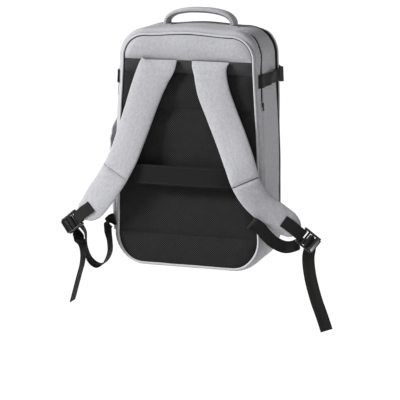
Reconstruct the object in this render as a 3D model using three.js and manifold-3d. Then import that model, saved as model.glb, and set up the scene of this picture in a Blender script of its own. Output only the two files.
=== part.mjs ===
// A laptop backpack, seen with its harness side towards -Y and its front towards +Y.
// Millimetres, +Z up. The origin is at the middle of the flat underside, at half the depth.
import * as THREE from "three";
import { mergeVertices } from "three/addons/utils/BufferGeometryUtils.js";
import Module from "manifold-3d";

const wasm = await Module();
wasm.setup();

// Overall sizes of the bag's body
const HEIGHT = 490;
const DEPTH = 165;
const HALF_AT_BASE = 164.5;
const HALF_AT_TOP = 146.5;
const CORNER_BASE = 66;
const CORNER_TOP = 58;
const SIDE_SWELL = 3.5;
const TOP_SWELL = 5;
const REAR_ROUND = 12;
const REAR_INSET = 9;
const REAR_INSET_BELOW = 3.6;
const FRONT_ROUND = 45;
const FRONT_CROWN = 5;
const WALL = 3;
const GAP = 0.3;

// Back panel, yoke, piping and the band across the back
const PIPING_RADIUS = 2.3;
const PANEL_PAD = 8;
const PANEL_EDGE = 2.5;
const PANEL_CORE = 4;
const YOKE_PAD = 9;
const YOKE_AT = 0.8749;
const YOKE_SEAM = HEIGHT * YOKE_AT;
const YOKE_TOP_MARGIN = 3;
const CHANNEL_HIGH = 329;
const CHANNEL_LOW = 72;
const TROLLEY_WIDTH = 40;
const TROLLEY_THICK = 3;
const TROLLEY_HEIGHT = 198;
const TROLLEY_LIFT = 18;
const TROLLEY_CLEAR = 0.5;

// Height of the compression straps, which pass over both zips
const SIDE_HEIGHT = 391;

// Zips and their sliders
const ZIP_WIDTH = 5;
const ZIP_SUNK = 1.2;
const ZIP_THICK = 1.8;
const MAIN_ZIP_TO_ROUND = 1;
const MAIN_ZIP_BACK = DEPTH - FRONT_ROUND - MAIN_ZIP_TO_ROUND;
const MAIN_ZIP_END = 62;
const LAPTOP_ZIP_DROP = 42;
const LAPTOP_ZIP_END = SIDE_HEIGHT - LAPTOP_ZIP_DROP;
const SLIDER_LENGTH = 10;
const SLIDER_WIDTH = 8;
const PULLER_LENGTH = 17;
const PULLER_WIDTH = 5;
const SLIDER_THICK = 2.6;
const SLIDER_CLEAR = 0.45;
const MAIN_SLIDER_DROP = 56;

// Side pocket, on the wearer's right
const POCKET_BACK = 6;
const POCKET_TO_ZIP = 7;
const POCKET_FRONT = MAIN_ZIP_BACK - POCKET_TO_ZIP;
const POCKET_FOOT = 70;
const POCKET_RIM_BACK = 205;
const POCKET_RIM_FRONT = 306;
const POCKET_SWELL = 26;
const POCKET_WALL = 2.4;
const POCKET_RIM = 9;
const POCKET_RIM_WALL = 3.4;
const POCKET_CLEAR = 0.4;

// Top handle and its feet
const HANDLE_HALF = 71;
const HANDLE_RISE = 30;
const HANDLE_WIDTH = 28;
const HANDLE_THICK = 9;
const FOOT_LENGTH = 26;
const FOOT_WIDTH = 34;
const FOOT_THICK = 1.8;

// Shoulder straps
const STRAP_WIDTH = 70;
const STRAP_THICK = 12;

// Webbing and ladder locks
const WEB_WIDTH = 25;
const WEB_THICK = 2;
const LOCK_WIDTH = 36;
const LOCK_RAIL = 4.5;
const LOCK_BAR = 2.2;
const LOCK_PITCH = 9;
const LOCK_JOIN = 1;
const LOCK_SLACK = 1;
const LOCK_REACH = 13;
const PATCH_LENGTH = 34;
const WEB_SEAM_HEIGHT = 100;
const WEB_SEAM_BACK = 2;

// Compression straps
const SIDE_ANCHOR_BACK = 2;
const SIDE_ANCHOR_FRONT = 24;
const BUCKLE_TO_ZIP = 5;
const SIDE_BUCKLE_BACK = MAIN_ZIP_BACK + BUCKLE_TO_ZIP;
const BUCKLE_TO_FRONT = 7;
const SIDE_BUCKLE_LENGTH = DEPTH - BUCKLE_TO_FRONT - SIDE_BUCKLE_BACK;
const SIDE_BUCKLE_WIDTH = 31;
const SIDE_BUCKLE_THICK = 10;
const SIDE_BUCKLE_BEVEL = 1.5;
const SIDE_SLACK = 4;
const SIDE_CLEAR = 0.4;
const SIDE_TAB_GAP = 2;
const SIDE_TAB_END = 1;
const ANCHOR_HEM = 1;

const Y_BACK = -DEPTH / 2;
const Y_FRONT = DEPTH / 2;
const HALF = (HALF_AT_BASE + HALF_AT_TOP) / 2;
const lerp = THREE.MathUtils.lerp;
const clamp = THREE.MathUtils.clamp;
const vec = (x, y, z) => new THREE.Vector3(x, y, z);

// Reads a table of rows by linear interpolation of one column over another.
function read(table, key, column, at) {
  const last = table.length - 1;
  if (at <= table[0][key]) return table[0][column];
  if (at >= table[last][key]) return table[last][column];
  const i = table.findIndex((row) => row[key] > at) - 1;
  const t = (at - table[i][key]) / (table[i + 1][key] - table[i][key]);
  return lerp(table[i][column], table[i + 1][column], t);
}

// Turns tables with a head row of names into rows of named values.
function named(head, rows) {
  return rows.map((row) => Object.fromEntries(head.map((name, i) => [name, row[i]])));
}

// Welds equal corners, drops collapsed triangles and returns a closed geometry.
function closed(positions, indices) {
  const raw = new THREE.BufferGeometry();
  raw.setAttribute("position", new THREE.Float32BufferAttribute(positions, 3));
  raw.setIndex(indices);
  const welded = mergeVertices(raw, 1e-4);
  const index = welded.index.array;
  const kept = [];
  for (let i = 0; i < index.length; i += 3) {
    const [a, b, c] = [index[i], index[i + 1], index[i + 2]];
    if (a !== b && b !== c && c !== a) kept.push(a, b, c);
  }
  welded.setIndex(kept);
  return outward(welded);
}

// Flips every triangle of a closed geometry whose signed volume is negative.
function outward(geometry) {
  const p = geometry.attributes.position;
  const index = geometry.index.array;
  const corner = (i) => new THREE.Vector3().fromBufferAttribute(p, i);
  let volume = 0;
  for (let i = 0; i < index.length; i += 3) {
    const [a, b, c] = [corner(index[i]), corner(index[i + 1]), corner(index[i + 2])];
    volume += a.dot(b.cross(c));
  }
  if (volume < 0) {
    const turned = Array.from(index);
    for (let i = 0; i < turned.length; i += 3) {
      [turned[i + 1], turned[i + 2]] = [turned[i + 2], turned[i + 1]];
    }
    geometry.setIndex(turned);
  }
  geometry.computeVertexNormals();
  return geometry;
}

// Joins a row of cross-sections, each a ring of points, into one closed body.
function loft(sections, isLoop) {
  const n = sections[0].length;
  const positions = sections.flat().flatMap((p) => [p.x, p.y, p.z]);
  const indices = [];
  const joins = isLoop ? sections.length : sections.length - 1;
  for (let s = 0; s < joins; s++) {
    const here = s * n;
    const next = ((s + 1) % sections.length) * n;
    for (let k = 0; k < n; k++) {
      const m = (k + 1) % n;
      indices.push(here + k, here + m, next + m, here + k, next + m, next + k);
    }
  }
  if (!isLoop) {
    for (const [start, flip] of [[0, true], [(sections.length - 1) * n, false]]) {
      const middle = positions.length / 3;
      const centre = vec(0, 0, 0);
      sections[start / n].forEach((p) => centre.add(p));
      centre.divideScalar(n);
      positions.push(centre.x, centre.y, centre.z);
      for (let k = 0; k < n; k++) {
        const m = (k + 1) % n;
        indices.push(middle, start + (flip ? m : k), start + (flip ? k : m));
      }
    }
  }
  return closed(positions, indices);
}

// Joins two grids of points, an outer and an inner face, into one closed sheet.
function sheet(outer, inner) {
  const rows = outer.length;
  const columns = outer[0].length;
  const positions = [outer, inner].flat(2).flatMap((p) => [p.x, p.y, p.z]);
  const at = (side, r, c) => side * rows * columns + r * columns + c;
  const indices = [];
  const quad = (a, b, c, d) => indices.push(a, b, c, a, c, d);
  for (let r = 0; r + 1 < rows; r++) {
    for (let c = 0; c + 1 < columns; c++) {
      quad(at(0, r, c), at(0, r, c + 1), at(0, r + 1, c + 1), at(0, r + 1, c));
      quad(at(1, r, c), at(1, r + 1, c), at(1, r + 1, c + 1), at(1, r, c + 1));
    }
    const e = columns - 1;
    quad(at(0, r, 0), at(0, r + 1, 0), at(1, r + 1, 0), at(1, r, 0));
    quad(at(0, r, e), at(1, r, e), at(1, r + 1, e), at(0, r + 1, e));
  }
  for (let c = 0; c + 1 < columns; c++) {
    const e = rows - 1;
    quad(at(0, 0, c), at(1, 0, c), at(1, 0, c + 1), at(0, 0, c + 1));
    quad(at(0, e, c), at(0, e, c + 1), at(1, e, c + 1), at(1, e, c));
  }
  return closed(positions, indices);
}

// Outline of the body at its widest, as points with normals, from the middle of the underside
// up the +X side to the middle of the top, and down the -X side.
function bodyOutline() {
  const lean = Math.atan2(HALF_AT_BASE - HALF_AT_TOP, HEIGHT);
  const half = [];
  const add = (x, z, angle, swell) => {
    const nx = Math.cos(angle);
    const nz = Math.sin(angle);
    half.push({ x: x + nx * swell, z: z + nz * swell, nx, nz });
  };
  const corner = (z, radius, from, to) => {
    const x = HALF_AT_BASE - (radius + Math.sin(lean) * z) / Math.cos(lean);
    const steps = 6;
    for (let i = 0; i <= steps; i++) {
      const a = lerp(from, to, i / steps);
      add(x + radius * Math.cos(a), z + radius * Math.sin(a), a, 0);
    }
  };
  const down = -Math.PI / 2;
  const up = Math.PI / 2;
  add(0, 0, down, 0);
  add(HALF_AT_BASE / 3, 0, down, 0);
  corner(CORNER_BASE, CORNER_BASE, down, lean);
  const foot = half[half.length - 1];
  const corners = half.length;
  corner(HEIGHT - CORNER_TOP, CORNER_TOP, lean, up);
  const head = half[corners];
  const top = half.splice(corners);
  const zipEnd = (LAPTOP_ZIP_END - foot.z) / (head.z - foot.z);
  const belowZip = zipEnd - ZIP_WIDTH / (head.z - foot.z);
  for (const t of [0.2, 0.4, 0.58, belowZip, zipEnd, 0.9]) {
    const swell = SIDE_SWELL * Math.sin(Math.PI * t) ** 2;
    add(lerp(foot.x, head.x, t), lerp(foot.z, head.z, t), lean, swell);
  }
  half.push(...top);
  const end = half[half.length - 1];
  for (const t of [1 / 3, 2 / 3, 1]) {
    add(end.x * (1 - t), end.z, up, TOP_SWELL * Math.sin((Math.PI * t) / 2) ** 2);
  }
  const mirrored = half.slice(1, -1).reverse();
  return [...half, ...mirrored.map((p) => ({ ...p, x: -p.x, nx: -p.nx }))];
}

const OUTLINE = bodyOutline();
const HALF_COUNT = OUTLINE.length / 2 + 1;

// How far the back seam lies inside the outline: less along the underside.
const seamInset = (nz) => lerp(REAR_INSET, REAR_INSET_BELOW, clamp(-nz, 0, 1) ** 3);

// How far the skin lies inside the outline, at a distance from the back seam.
function insetAt(back, nz) {
  const seam = seamInset(nz);
  const front = DEPTH - back;
  if (back < REAR_ROUND) {
    return seam * (1 - Math.sqrt(1 - (1 - back / REAR_ROUND) ** 2));
  }
  if (front < FRONT_ROUND) {
    return FRONT_ROUND - Math.sqrt(FRONT_ROUND ** 2 - (FRONT_ROUND - front) ** 2);
  }
  return 0;
}

// A point of the body's skin: outline point, distance from the back seam, height off the skin.
function skin(point, back, lift) {
  const off = lift - insetAt(back, point.nz);
  return vec(point.x + point.nx * off, Y_BACK + back, point.z + point.nz * off);
}

// Distance from the back seam to the strip's edge: narrow on the sides, wide over the top.
const REAR_STRIP = named(["up", "back"], [
  [0.0, 0.2],
  [0.08, 0.18],
  [0.2, 0.075],
  [0.3, 0.04],
  [0.71, 0.04],
  [0.83, 0.055],
  [0.933, 0.11],
  [0.98, 0.2],
  [1.0, 0.225],
]);
const stripEdge = (point) => DEPTH * read(REAR_STRIP, "up", "back", point.z / HEIGHT);
const hasLaptopZip = (point) => point.z > LAPTOP_ZIP_END - GAP;
const hasMainZip = (point) => point.z > MAIN_ZIP_END;

function rearGusset() {
  return loft(OUTLINE.map((point) => {
    const edge = stripEdge(point);
    const backs = [0, edge * 0.3, edge * 0.65, edge];
    const outer = backs.map((back) => skin(point, back, 0));
    const inner = backs.map((back) => skin(point, back, -WALL));
    return [...outer, ...inner.reverse()];
  }), true);
}

function mainGusset() {
  return loft(OUTLINE.map((point) => {
    const zip = hasLaptopZip(point) ? ZIP_WIDTH + GAP : 0;
    const from = stripEdge(point) + GAP + zip;
    const to = MAIN_ZIP_BACK - (hasMainZip(point) ? ZIP_WIDTH / 2 + GAP : GAP / 2);
    const backs = [0, 0.08, 0.4, 0.7, 1].map((t) => lerp(from, to, t));
    const outer = backs.map((back) => skin(point, back, 0));
    const inner = backs.map((back) => skin(point, back, -WALL));
    return [...outer, ...inner.reverse()];
  }), true);
}

// A recessed band of zip tape between two walls, along a run of the outline.
function zipBand(run, fromBack) {
  return loft(run.map((point) => {
    const from = fromBack(point) + GAP;
    const to = from + ZIP_WIDTH - GAP;
    return [
      skin(point, from, -ZIP_SUNK),
      skin(point, to, -ZIP_SUNK),
      skin(point, to, -ZIP_SUNK - ZIP_THICK),
      skin(point, from, -ZIP_SUNK - ZIP_THICK),
    ];
  }), false);
}

function laptopZip() {
  return zipBand(OUTLINE.filter(hasLaptopZip), stripEdge);
}

function mainZip() {
  return zipBand(OUTLINE.filter(hasMainZip), () => MAIN_ZIP_BACK - ZIP_WIDTH / 2);
}

// Front shell: side wall, rounded edge and slightly crowned face, hollow behind.
function frontPanel() {
  const turns = [0, 0.2, 0.4, 0.6, 0.8, 1].map((t) => (t * Math.PI) / 2);
  const centre = DEPTH - FRONT_ROUND;
  const rounded = (point, radius) => turns.map((a) => {
    const off = radius * Math.cos(a) - FRONT_ROUND;
    const y = Y_BACK + centre + radius * Math.sin(a);
    return vec(point.x + point.nx * off, y, point.z + point.nz * off);
  });
  const face = (rim) => [0.3, 0.65, 1].map((t) => {
    const y = rim.y + FRONT_CROWN * (1 - (1 - t) ** 2);
    return vec(lerp(rim.x, 0, t), y, lerp(rim.z, HEIGHT / 2, t));
  });
  return loft(OUTLINE.map((point) => {
    const start = MAIN_ZIP_BACK + (hasMainZip(point) ? ZIP_WIDTH / 2 + GAP : GAP / 2);
    const skins = [FRONT_ROUND, FRONT_ROUND - WALL].map((radius, k) => {
      const bend = rounded(point, radius).slice(1);
      return [skin(point, start, -k * WALL), ...bend, ...face(bend[bend.length - 1])];
    });
    return [...skins[0], ...skins[1].reverse()];
  }), true);
}

// Half width of the back panel at a height, just inside the piping.
const PANEL_SIDE = OUTLINE.slice(0, HALF_COUNT).map((point) => {
  const inset = seamInset(point.nz) + 2 * PIPING_RADIUS + 2 * GAP;
  return { half: point.x - point.nx * inset, up: point.z - point.nz * inset };
}).slice(2);
const panelHalf = (z) => read(PANEL_SIDE, "up", "half", z);

// Padding of the back, from 0 at the rim of a quilted field to 1 on its middle.
const swell = (across, along) => (1 - Math.abs(across) ** 8) * along;

// Rows of the mesh panel and the yoke: height as a share between two seams, and fullness.
const FIELD_ROWS = named(["up", "full"], [
  [0, 0.15],
  [0.03, 0.55],
  [0.08, 0.85],
  [0.2, 1],
  [0.4, 1],
  [0.6, 1],
  [0.8, 1],
  [0.92, 0.85],
  [0.97, 0.55],
  [1, 0.15],
]);

// A padded field between stacked heights; the seams between its fields are quilted channels.
// Its top edge rises towards the middle by the crown.
function paddedField(seams, pad, crown) {
  const rows = [];
  const rise = (u, z) => {
    const share = (z - seams[0]) / (seams[seams.length - 1] - seams[0]);
    return crown * share * Math.sin((Math.PI / 2) * (1 - Math.abs(u))) ** 2;
  };
  seams.slice(1).forEach((top, i) => {
    const bottom = seams[i];
    FIELD_ROWS.slice(i === 0 ? 0 : 1).forEach((row) => {
      rows.push({ z: lerp(bottom, top, row.up), full: row.full });
    });
  });
  const columns = [-1, -0.97, -0.9, -0.72, -0.4, 0, 0.4, 0.72, 0.9, 0.97, 1];
  const front = rows.map(({ z, full }) => columns.map((u) => {
    const off = PANEL_EDGE + (pad - PANEL_EDGE) * swell(u, full);
    return vec(u * panelHalf(z), Y_BACK - off, z + rise(u, z));
  }));
  const back = rows.map(({ z }) => columns.map((u) => {
    return vec(u * (panelHalf(z) - GAP), Y_BACK + PANEL_CORE, z + rise(u, z));
  }));
  return sheet(front, back);
}

const PANEL_FOOT = PANEL_SIDE[0].up;
const PANEL_HEAD = PANEL_SIDE[PANEL_SIDE.length - 1].up - TOP_SWELL - YOKE_TOP_MARGIN / 2;

function backPanel() {
  return paddedField([PANEL_FOOT, CHANNEL_LOW, CHANNEL_HIGH, YOKE_SEAM - GAP], PANEL_PAD, 0);
}

function backYoke() {
  return paddedField([YOKE_SEAM, PANEL_HEAD], YOKE_PAD, TOP_SWELL);
}

function rearPiping() {
  const sides = 6;
  return loft(OUTLINE.map((point) => {
    const middle = skin(point, 0, -PIPING_RADIUS - GAP);
    return Array.from({ length: sides }, (_, k) => {
      const a = (k * 2 * Math.PI) / sides;
      const out = PIPING_RADIUS * Math.cos(a);
      const y = middle.y - PIPING_RADIUS * (1 + Math.sin(a)) - GAP;
      return vec(middle.x + point.nx * out, y, middle.z + point.nz * out);
    });
  }), true);
}

// Rounded cross-sections of straps: share of half the width, share of half the thickness.
const PADDED = [
  [-1, -0.25], [-0.9, -0.75], [-0.6, -1], [0, -1], [0.6, -1], [0.9, -0.75],
  [1, -0.25], [1, 0.25], [0.9, 0.75], [0.6, 1], [0, 1], [-0.6, 1], [-0.9, 0.75], [-1, 0.25],
];
const FLAT = [[-1, -1], [1, -1], [1, 1], [-1, 1]];

// The directions along, across and out of a band at one of its stations.
function directions(stations, i) {
  const before = stations[Math.max(i - 1, 0)].at;
  const after = stations[Math.min(i + 1, stations.length - 1)].at;
  const along = after.clone().sub(before).normalize();
  const across = stations[i].across.clone();
  across.addScaledVector(along, -across.dot(along)).normalize();
  return { along, across, out: across.clone().cross(along) };
}

// A band along stations with centre at, direction across its width, width and thickness.
function band(stations, section) {
  return loft(stations.map((station, i) => {
    const { across, out } = directions(stations, i);
    return section.map(([u, v]) => station.at.clone()
      .addScaledVector(across, (u * station.width) / 2)
      .addScaledVector(out, (v * station.thick) / 2));
  }), false);
}

// Smooth stations through hand-set ones, a number of steps for each span.
function smooth(stations, steps) {
  const route = new THREE.CatmullRomCurve3(stations.map((s) => s.at), false, "centripetal");
  const spans = stations.length - 1;
  return Array.from({ length: spans * steps + 1 }, (_, k) => {
    const i = Math.min(Math.floor(k / steps), spans - 1);
    const t = k / steps - i;
    const [a, b] = [stations[i], stations[i + 1]];
    const eased = t * t * (3 - 2 * t);
    return {
      at: route.getPoint((i + t) / spans),
      across: a.across.clone().lerp(b.across, eased).normalize(),
      width: lerp(a.width, b.width, t),
      thick: lerp(a.thick, b.thick, t),
    };
  });
}

// A point given by shares: across of the mean half width, off the back plane, up the height.
const place = (row) => vec(row.x * HALF, Y_BACK - row.off * DEPTH, row.up * HEIGHT);

// Shoulder straps: centre line, direction of the width, width and thickness as shares of
// the greatest strap width and thickness.
const STRAP_HEAD = ["x", "off", "up", "wx", "wy", "wz", "width", "thick"];
const STRAP_RIGHT = named(STRAP_HEAD, [
  [0.322, 0.047, 0.8732, 1.0, 0.0, 0.0, 1.14, 0.33],
  [0.322, 0.073, 0.858, 1.0, 0.0, 0.01, 1.08, 0.6],
  [0.335, 0.09, 0.826, 1.0, 0.0, 0.04, 0.98, 0.9],
  [0.38, 0.104, 0.758, 0.99, 0.0, 0.1, 0.98, 1.0],
  [0.483, 0.114, 0.675, 0.98, 0.0, 0.17, 0.95, 1.0],
  [0.63, 0.137, 0.567, 0.97, 0.03, 0.2, 0.94, 1.0],
  [0.752, 0.17, 0.473, 0.95, 0.08, 0.28, 0.92, 1.0],
  [0.841, 0.18, 0.394, 0.88, 0.18, 0.42, 0.86, 1.0],
  [0.939, 0.158, 0.338, 0.8, 0.26, 0.53, 0.82, 1.0],
  [1.059, 0.128, 0.296, 0.74, 0.31, 0.58, 0.8, 1.0],
  [1.216, 0.098, 0.26, 0.69, 0.33, 0.64, 0.8, 0.95],
  [1.37, 0.072, 0.226, 0.62, 0.34, 0.7, 0.76, 0.85],
  [1.45, 0.06, 0.207, 0.58, 0.36, 0.72, 0.6, 0.75],
  [1.49, 0.054, 0.197, 0.57, 0.37, 0.73, 0.4, 0.6],
]);
const STRAP_LEFT = named(STRAP_HEAD, [
  [-0.376, 0.047, 0.8732, -1.0, 0.0, 0.0, 1.12, 0.33],
  [-0.376, 0.073, 0.858, -1.0, 0.0, 0.0, 1.1, 0.6],
  [-0.432, 0.09, 0.822, -1.0, 0.0, 0.0, 1.06, 0.9],
  [-0.521, 0.104, 0.753, -1.0, 0.0, -0.04, 1.0, 1.0],
  [-0.622, 0.114, 0.661, -0.99, 0.0, -0.12, 0.95, 1.0],
  [-0.728, 0.14, 0.562, -0.98, 0.02, -0.16, 0.94, 1.0],
  [-0.817, 0.178, 0.479, -0.98, 0.05, -0.14, 0.93, 1.0],
  [-0.912, 0.2, 0.415, -0.96, 0.1, 0.1, 0.9, 1.0],
  [-1.029, 0.194, 0.356, -0.95, 0.15, 0.22, 0.9, 1.0],
  [-1.16, 0.179, 0.299, -0.93, 0.17, 0.3, 0.9, 0.95],
  [-1.291, 0.154, 0.247, -0.88, 0.18, 0.42, 0.84, 0.85],
  [-1.4, 0.138, 0.222, -0.8, 0.2, 0.56, 0.64, 0.75],
  [-1.445, 0.13, 0.21, -0.78, 0.2, 0.58, 0.42, 0.6],
]);
const strapStations = (table) => table.map((row) => ({
  at: place(row),
  across: vec(row.wx, row.wy, row.wz),
  width: row.width * STRAP_WIDTH,
  thick: row.thick * STRAP_THICK,
}));

const STRAP_STEPS = 2;
const strap = (table) => band(smooth(strapStations(table), STRAP_STEPS), PADDED);

// The frame at a strap's tip: along it outwards, across it, and out of its visible face.
function strapTip(table) {
  const stations = strapStations(table);
  const tip = stations[stations.length - 1];
  const { along, across, out } = directions(stations, stations.length - 1);
  if (out.y > 0) out.negate();
  const point = (a, n) => tip.at.clone().addScaledVector(along, a).addScaledVector(out, n);
  return { along, across, out, point, origin: tip.at, thick: tip.thick };
}

const web = (at, across) => ({ at, across, width: WEB_WIDTH, thick: WEB_THICK });

// Webbing sewn on a strap's face: it wraps the lock's first bar and returns below.
function strapPatch(table) {
  const tip = strapTip(table);
  const lift = WEB_THICK / 2 + GAP;
  const all = smooth(strapStations(table), STRAP_STEPS);
  const onStrap = all.map((s, i) => {
    const { across, out } = directions(all, i);
    if (out.y > 0) out.negate();
    return web(s.at.clone().addScaledVector(out, s.thick / 2 + lift + GAP), across);
  }).filter((s, i) => all[i].at.distanceTo(tip.origin) < PATCH_LENGTH);
  const wrap = LOCK_BAR + WEB_THICK / 2 + GAP;
  const turns = [90, 45, 0, -45, -90].map((deg) => {
    const a = THREE.MathUtils.degToRad(deg);
    return [LOCK_REACH + wrap * Math.cos(a), wrap * Math.sin(a)];
  });
  const half = tip.thick / 2;
  const rest = [
    [LOCK_REACH * 0.3, half + lift],
    ...turns,
    [LOCK_REACH * 0.45, -half],
    [3 * GAP, -half + WEB_THICK],
  ];
  return band([...onStrap, ...rest.map(([a, n]) => web(tip.point(a, n), tip.across))], FLAT);
}

// Side view of a ladder lock's rail and of its thumb tab: shares of the bars' pitch.
const RAIL_SIDE = [
  [-0.5, -0.2], [-0.4, 0.3], [0.1, 0.5], [0.9, 0.42], [1.6, 0.45], [2.3, 0.55], [2.9, 0.5],
  [3.6, 0.75], [3.9, 0.62], [3.6, 0.2], [3.1, -0.3], [2.2, -0.38], [1, -0.34], [0.1, -0.38],
];
const TAB_SIDE = [
  [2.78, -0.22], [3.15, -0.26], [3.75, 0.28], [4.15, 0.85], [3.95, 1], [3.45, 0.55], [2.78, 0.24],
];

function solid(geometry) {
  const bare = geometry.clone();
  bare.deleteAttribute("normal");
  bare.deleteAttribute("uv");
  const merged = mergeVertices(bare, 1e-4);
  const vertProperties = new Float32Array(merged.attributes.position.array);
  const triVerts = new Uint32Array(merged.index.array);
  return new wasm.Manifold(new wasm.Mesh({ numProp: 3, vertProperties, triVerts }));
}

function fromSolid(body) {
  const mesh = body.getMesh();
  const geometry = new THREE.BufferGeometry();
  geometry.setAttribute("position", new THREE.BufferAttribute(mesh.vertProperties, 3));
  geometry.setIndex(new THREE.BufferAttribute(mesh.triVerts, 1));
  geometry.computeVertexNormals();
  return geometry;
}

// An outline of shares of a size, extruded along Z between two places.
function plate(outline, size, from, to) {
  const shape = new THREE.Shape(outline.map(([u, v]) => new THREE.Vector2(u * size, v * size)));
  const body = new THREE.ExtrudeGeometry(shape, { depth: to - from, bevelEnabled: false });
  return body.translate(0, 0, from);
}

// Ladder lock in its own frame: X along the strap from the first bar, Y out, Z across.
function ladderLock() {
  const half = LOCK_WIDTH / 2;
  const inner = half - LOCK_RAIL;
  const rails = [[-half, -inner], [inner, half]]
    .map(([from, to]) => solid(plate(RAIL_SIDE, LOCK_PITCH, from, to)));
  const reach = inner + LOCK_JOIN;
  const tab = solid(plate(TAB_SIDE, LOCK_PITCH, -reach, reach));
  const bars = [0, 1, 2].map((k) => {
    const bar = new THREE.CylinderGeometry(LOCK_BAR, LOCK_BAR, 2 * reach, 8);
    return solid(bar.rotateX(Math.PI / 2).translate(k * LOCK_PITCH, 0, 0));
  });
  return fromSolid([...rails, tab, ...bars].reduce((all, piece) => all.add(piece)));
}

// Webbing through the lock, up the second slot, over the last bar and down the third:
// shares of half the pitch along the strap, and of the height over the bar.
const THROUGH = named(["along", "out"], [
  [-1, -1.9], [-1, -0.7], [-1, 0.25], [-0.72, 0.8], [0, 1],
  [0.72, 0.8], [1, 0.25], [1, -0.7], [1, -1.9],
]);
function throughLock(tip) {
  const bar = LOCK_REACH + 2 * LOCK_PITCH;
  const slot = LOCK_PITCH / 2;
  const over = LOCK_BAR + WEB_THICK / 2 + LOCK_SLACK;
  return THROUGH.map(({ along, out }) => {
    return web(tip.point(bar + along * slot, out * over), tip.across);
  });
}

// Adjusting webbing: from the side seam in a slack loop to the lock, then its free tail.
const WEB_HEAD = ["x", "off", "up", "wx", "wy", "wz"];
const LOOP_RIGHT = named(WEB_HEAD, [
  [0.99, 0.05, 0.206, 0.2, 0.0, 0.98],
  [0.94, 0.16, 0.216, 0.4, 0.1, 0.9],
  [0.93, 0.24, 0.23, 0.58, 0.15, 0.8],
  [0.975, 0.285, 0.235, 0.62, 0.15, 0.77],
  [1.045, 0.265, 0.222, 0.62, 0.15, 0.77],
  [1.13, 0.21, 0.184, 0.6, 0.15, 0.78],
  [1.225, 0.14, 0.149, 0.42, 0.2, 0.88],
  [1.34, 0.05, 0.127, 0.2, 0.25, 0.95],
  [1.439, -0.123, 0.125, 0.11, 0.18, 0.98],
  [1.523, -0.181, 0.143, 0.86, -0.12, -0.49],
]);
const TAIL_RIGHT = named(WEB_HEAD, [
  [1.645, -0.035, 0.128, 0.75, 0.33, 0.55],
  [1.625, -0.03, 0.085, 0.9, 0.28, 0.3],
  [1.66, 0.0, 0.01, 0.94, 0.25, 0.25],
  [1.755, 0.025, -0.09, 0.94, 0.22, 0.28],
  [1.83, 0.035, -0.15, 0.94, 0.22, 0.3],
  [1.9, 0.035, -0.213, 0.93, 0.22, 0.32],
]);
const LOOP_LEFT = named(WEB_HEAD, [
  [-1.064, 0.02, 0.201, 0.1, 0.2, 0.97],
  [-1.095, 0.055, 0.182, 0.3, 0.65, 0.65],
  [-1.098, 0.075, 0.15, 0.22, 0.95, 0.15],
  [-1.073, 0.075, 0.1, 0.06, 0.98, -0.1],
  [-1.076, 0.07, 0.05, 0.04, 0.98, -0.1],
  [-1.154, 0.056, 0.002, 0.08, 0.97, 0.08],
  [-1.252, 0.033, -0.016, 0.1, 0.97, 0.16],
  [-1.367, -0.003, -0.004, 0.0, 0.98, 0.12],
  [-1.447, -0.045, 0.026, -0.1, 0.99, 0.05],
  [-1.482, -0.062, 0.064, -0.15, 0.98, 0.1],
  [-1.474, -0.06, 0.107, -0.25, 0.92, 0.25],
  [-1.495, -0.02, 0.14, -0.42, 0.68, 0.55],
]);
const TAIL_LEFT = named(WEB_HEAD, [
  [-1.581, 0.009, 0.148, -0.66, 0.47, 0.65],
  [-1.562, 0.006, 0.12, -0.05, 0.66, 0.52],
  [-1.52, 0.065, 0.098, -0.1, 0.9, 0.4],
  [-1.446, 0.135, 0.076, 0.02, 0.96, 0.2],
  [-1.418, 0.167, 0.044, 0.06, 0.98, 0.02],
  [-1.437, 0.155, 0.0, 0.06, 0.98, 0.02],
  [-1.49, 0.145, -0.055, 0.06, 0.98, 0.02],
  [-1.6, 0.13, -0.172, 0.06, 0.98, 0.04],
]);
const WEB_STEPS = 3;
const webStations = (table) => table.map((row) => web(place(row), vec(row.wx, row.wy, row.wz)));

function adjuster(sign, strapTable, loop, tail) {
  const through = throughLock(strapTip(strapTable));
  const start = sideSkin(sign, WEB_SEAM_HEIGHT, WEB_SEAM_BACK, GAP + WEB_THICK);
  const seam = web(start, sideUp(sign, WEB_SEAM_HEIGHT, WEB_SEAM_BACK));
  const enter = smooth([seam, ...webStations(loop), through[0]], WEB_STEPS);
  const leave = smooth([through[through.length - 1], ...webStations(tail)], WEB_STEPS);
  return band([...enter, ...through.slice(1, -1), ...leave], FLAT);
}

// Band sewn across the back: shares of the panel's half width, and of the lift off it.
const TROLLEY = named(["u", "lift"], [
  [-0.985, 0], [-0.93, 0.06], [-0.85, 0.35], [-0.75, 0.78], [-0.64, 1], [-0.3, 1.02],
  [0.1, 1.02], [0.43, 1], [0.58, 0.85], [0.76, 0.45], [0.93, 0.06], [0.985, 0],
]);

function trolleyStrap() {
  return band(TROLLEY.map(({ u, lift }) => {
    const pad = PANEL_EDGE + (PANEL_PAD - PANEL_EDGE) * swell(u, 1);
    const off = pad + TROLLEY_CLEAR + TROLLEY_THICK / 2 + TROLLEY_LIFT * lift;
    const at = vec(u * panelHalf(TROLLEY_HEIGHT), Y_BACK - off, TROLLEY_HEIGHT);
    return { at, across: vec(0, 0, 1), width: TROLLEY_WIDTH, thick: TROLLEY_THICK };
  }), FLAT);
}

// A point on one side of the body: height, distance from the back seam, height off the skin.
const SIDE_LINE = OUTLINE.slice(2, HALF_COUNT);
function sideSkin(sign, z, back, lift) {
  const step = 0.01;
  const half = (b) => read(SIDE_LINE, "z", "x", z) - insetAt(b, 0);
  const slope = (half(back + step) - half(back)) / step;
  const normal = new THREE.Vector2(1, -slope).normalize();
  return vec(sign * (half(back) + normal.x * lift), Y_BACK + back + normal.y * lift, z);
}

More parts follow.
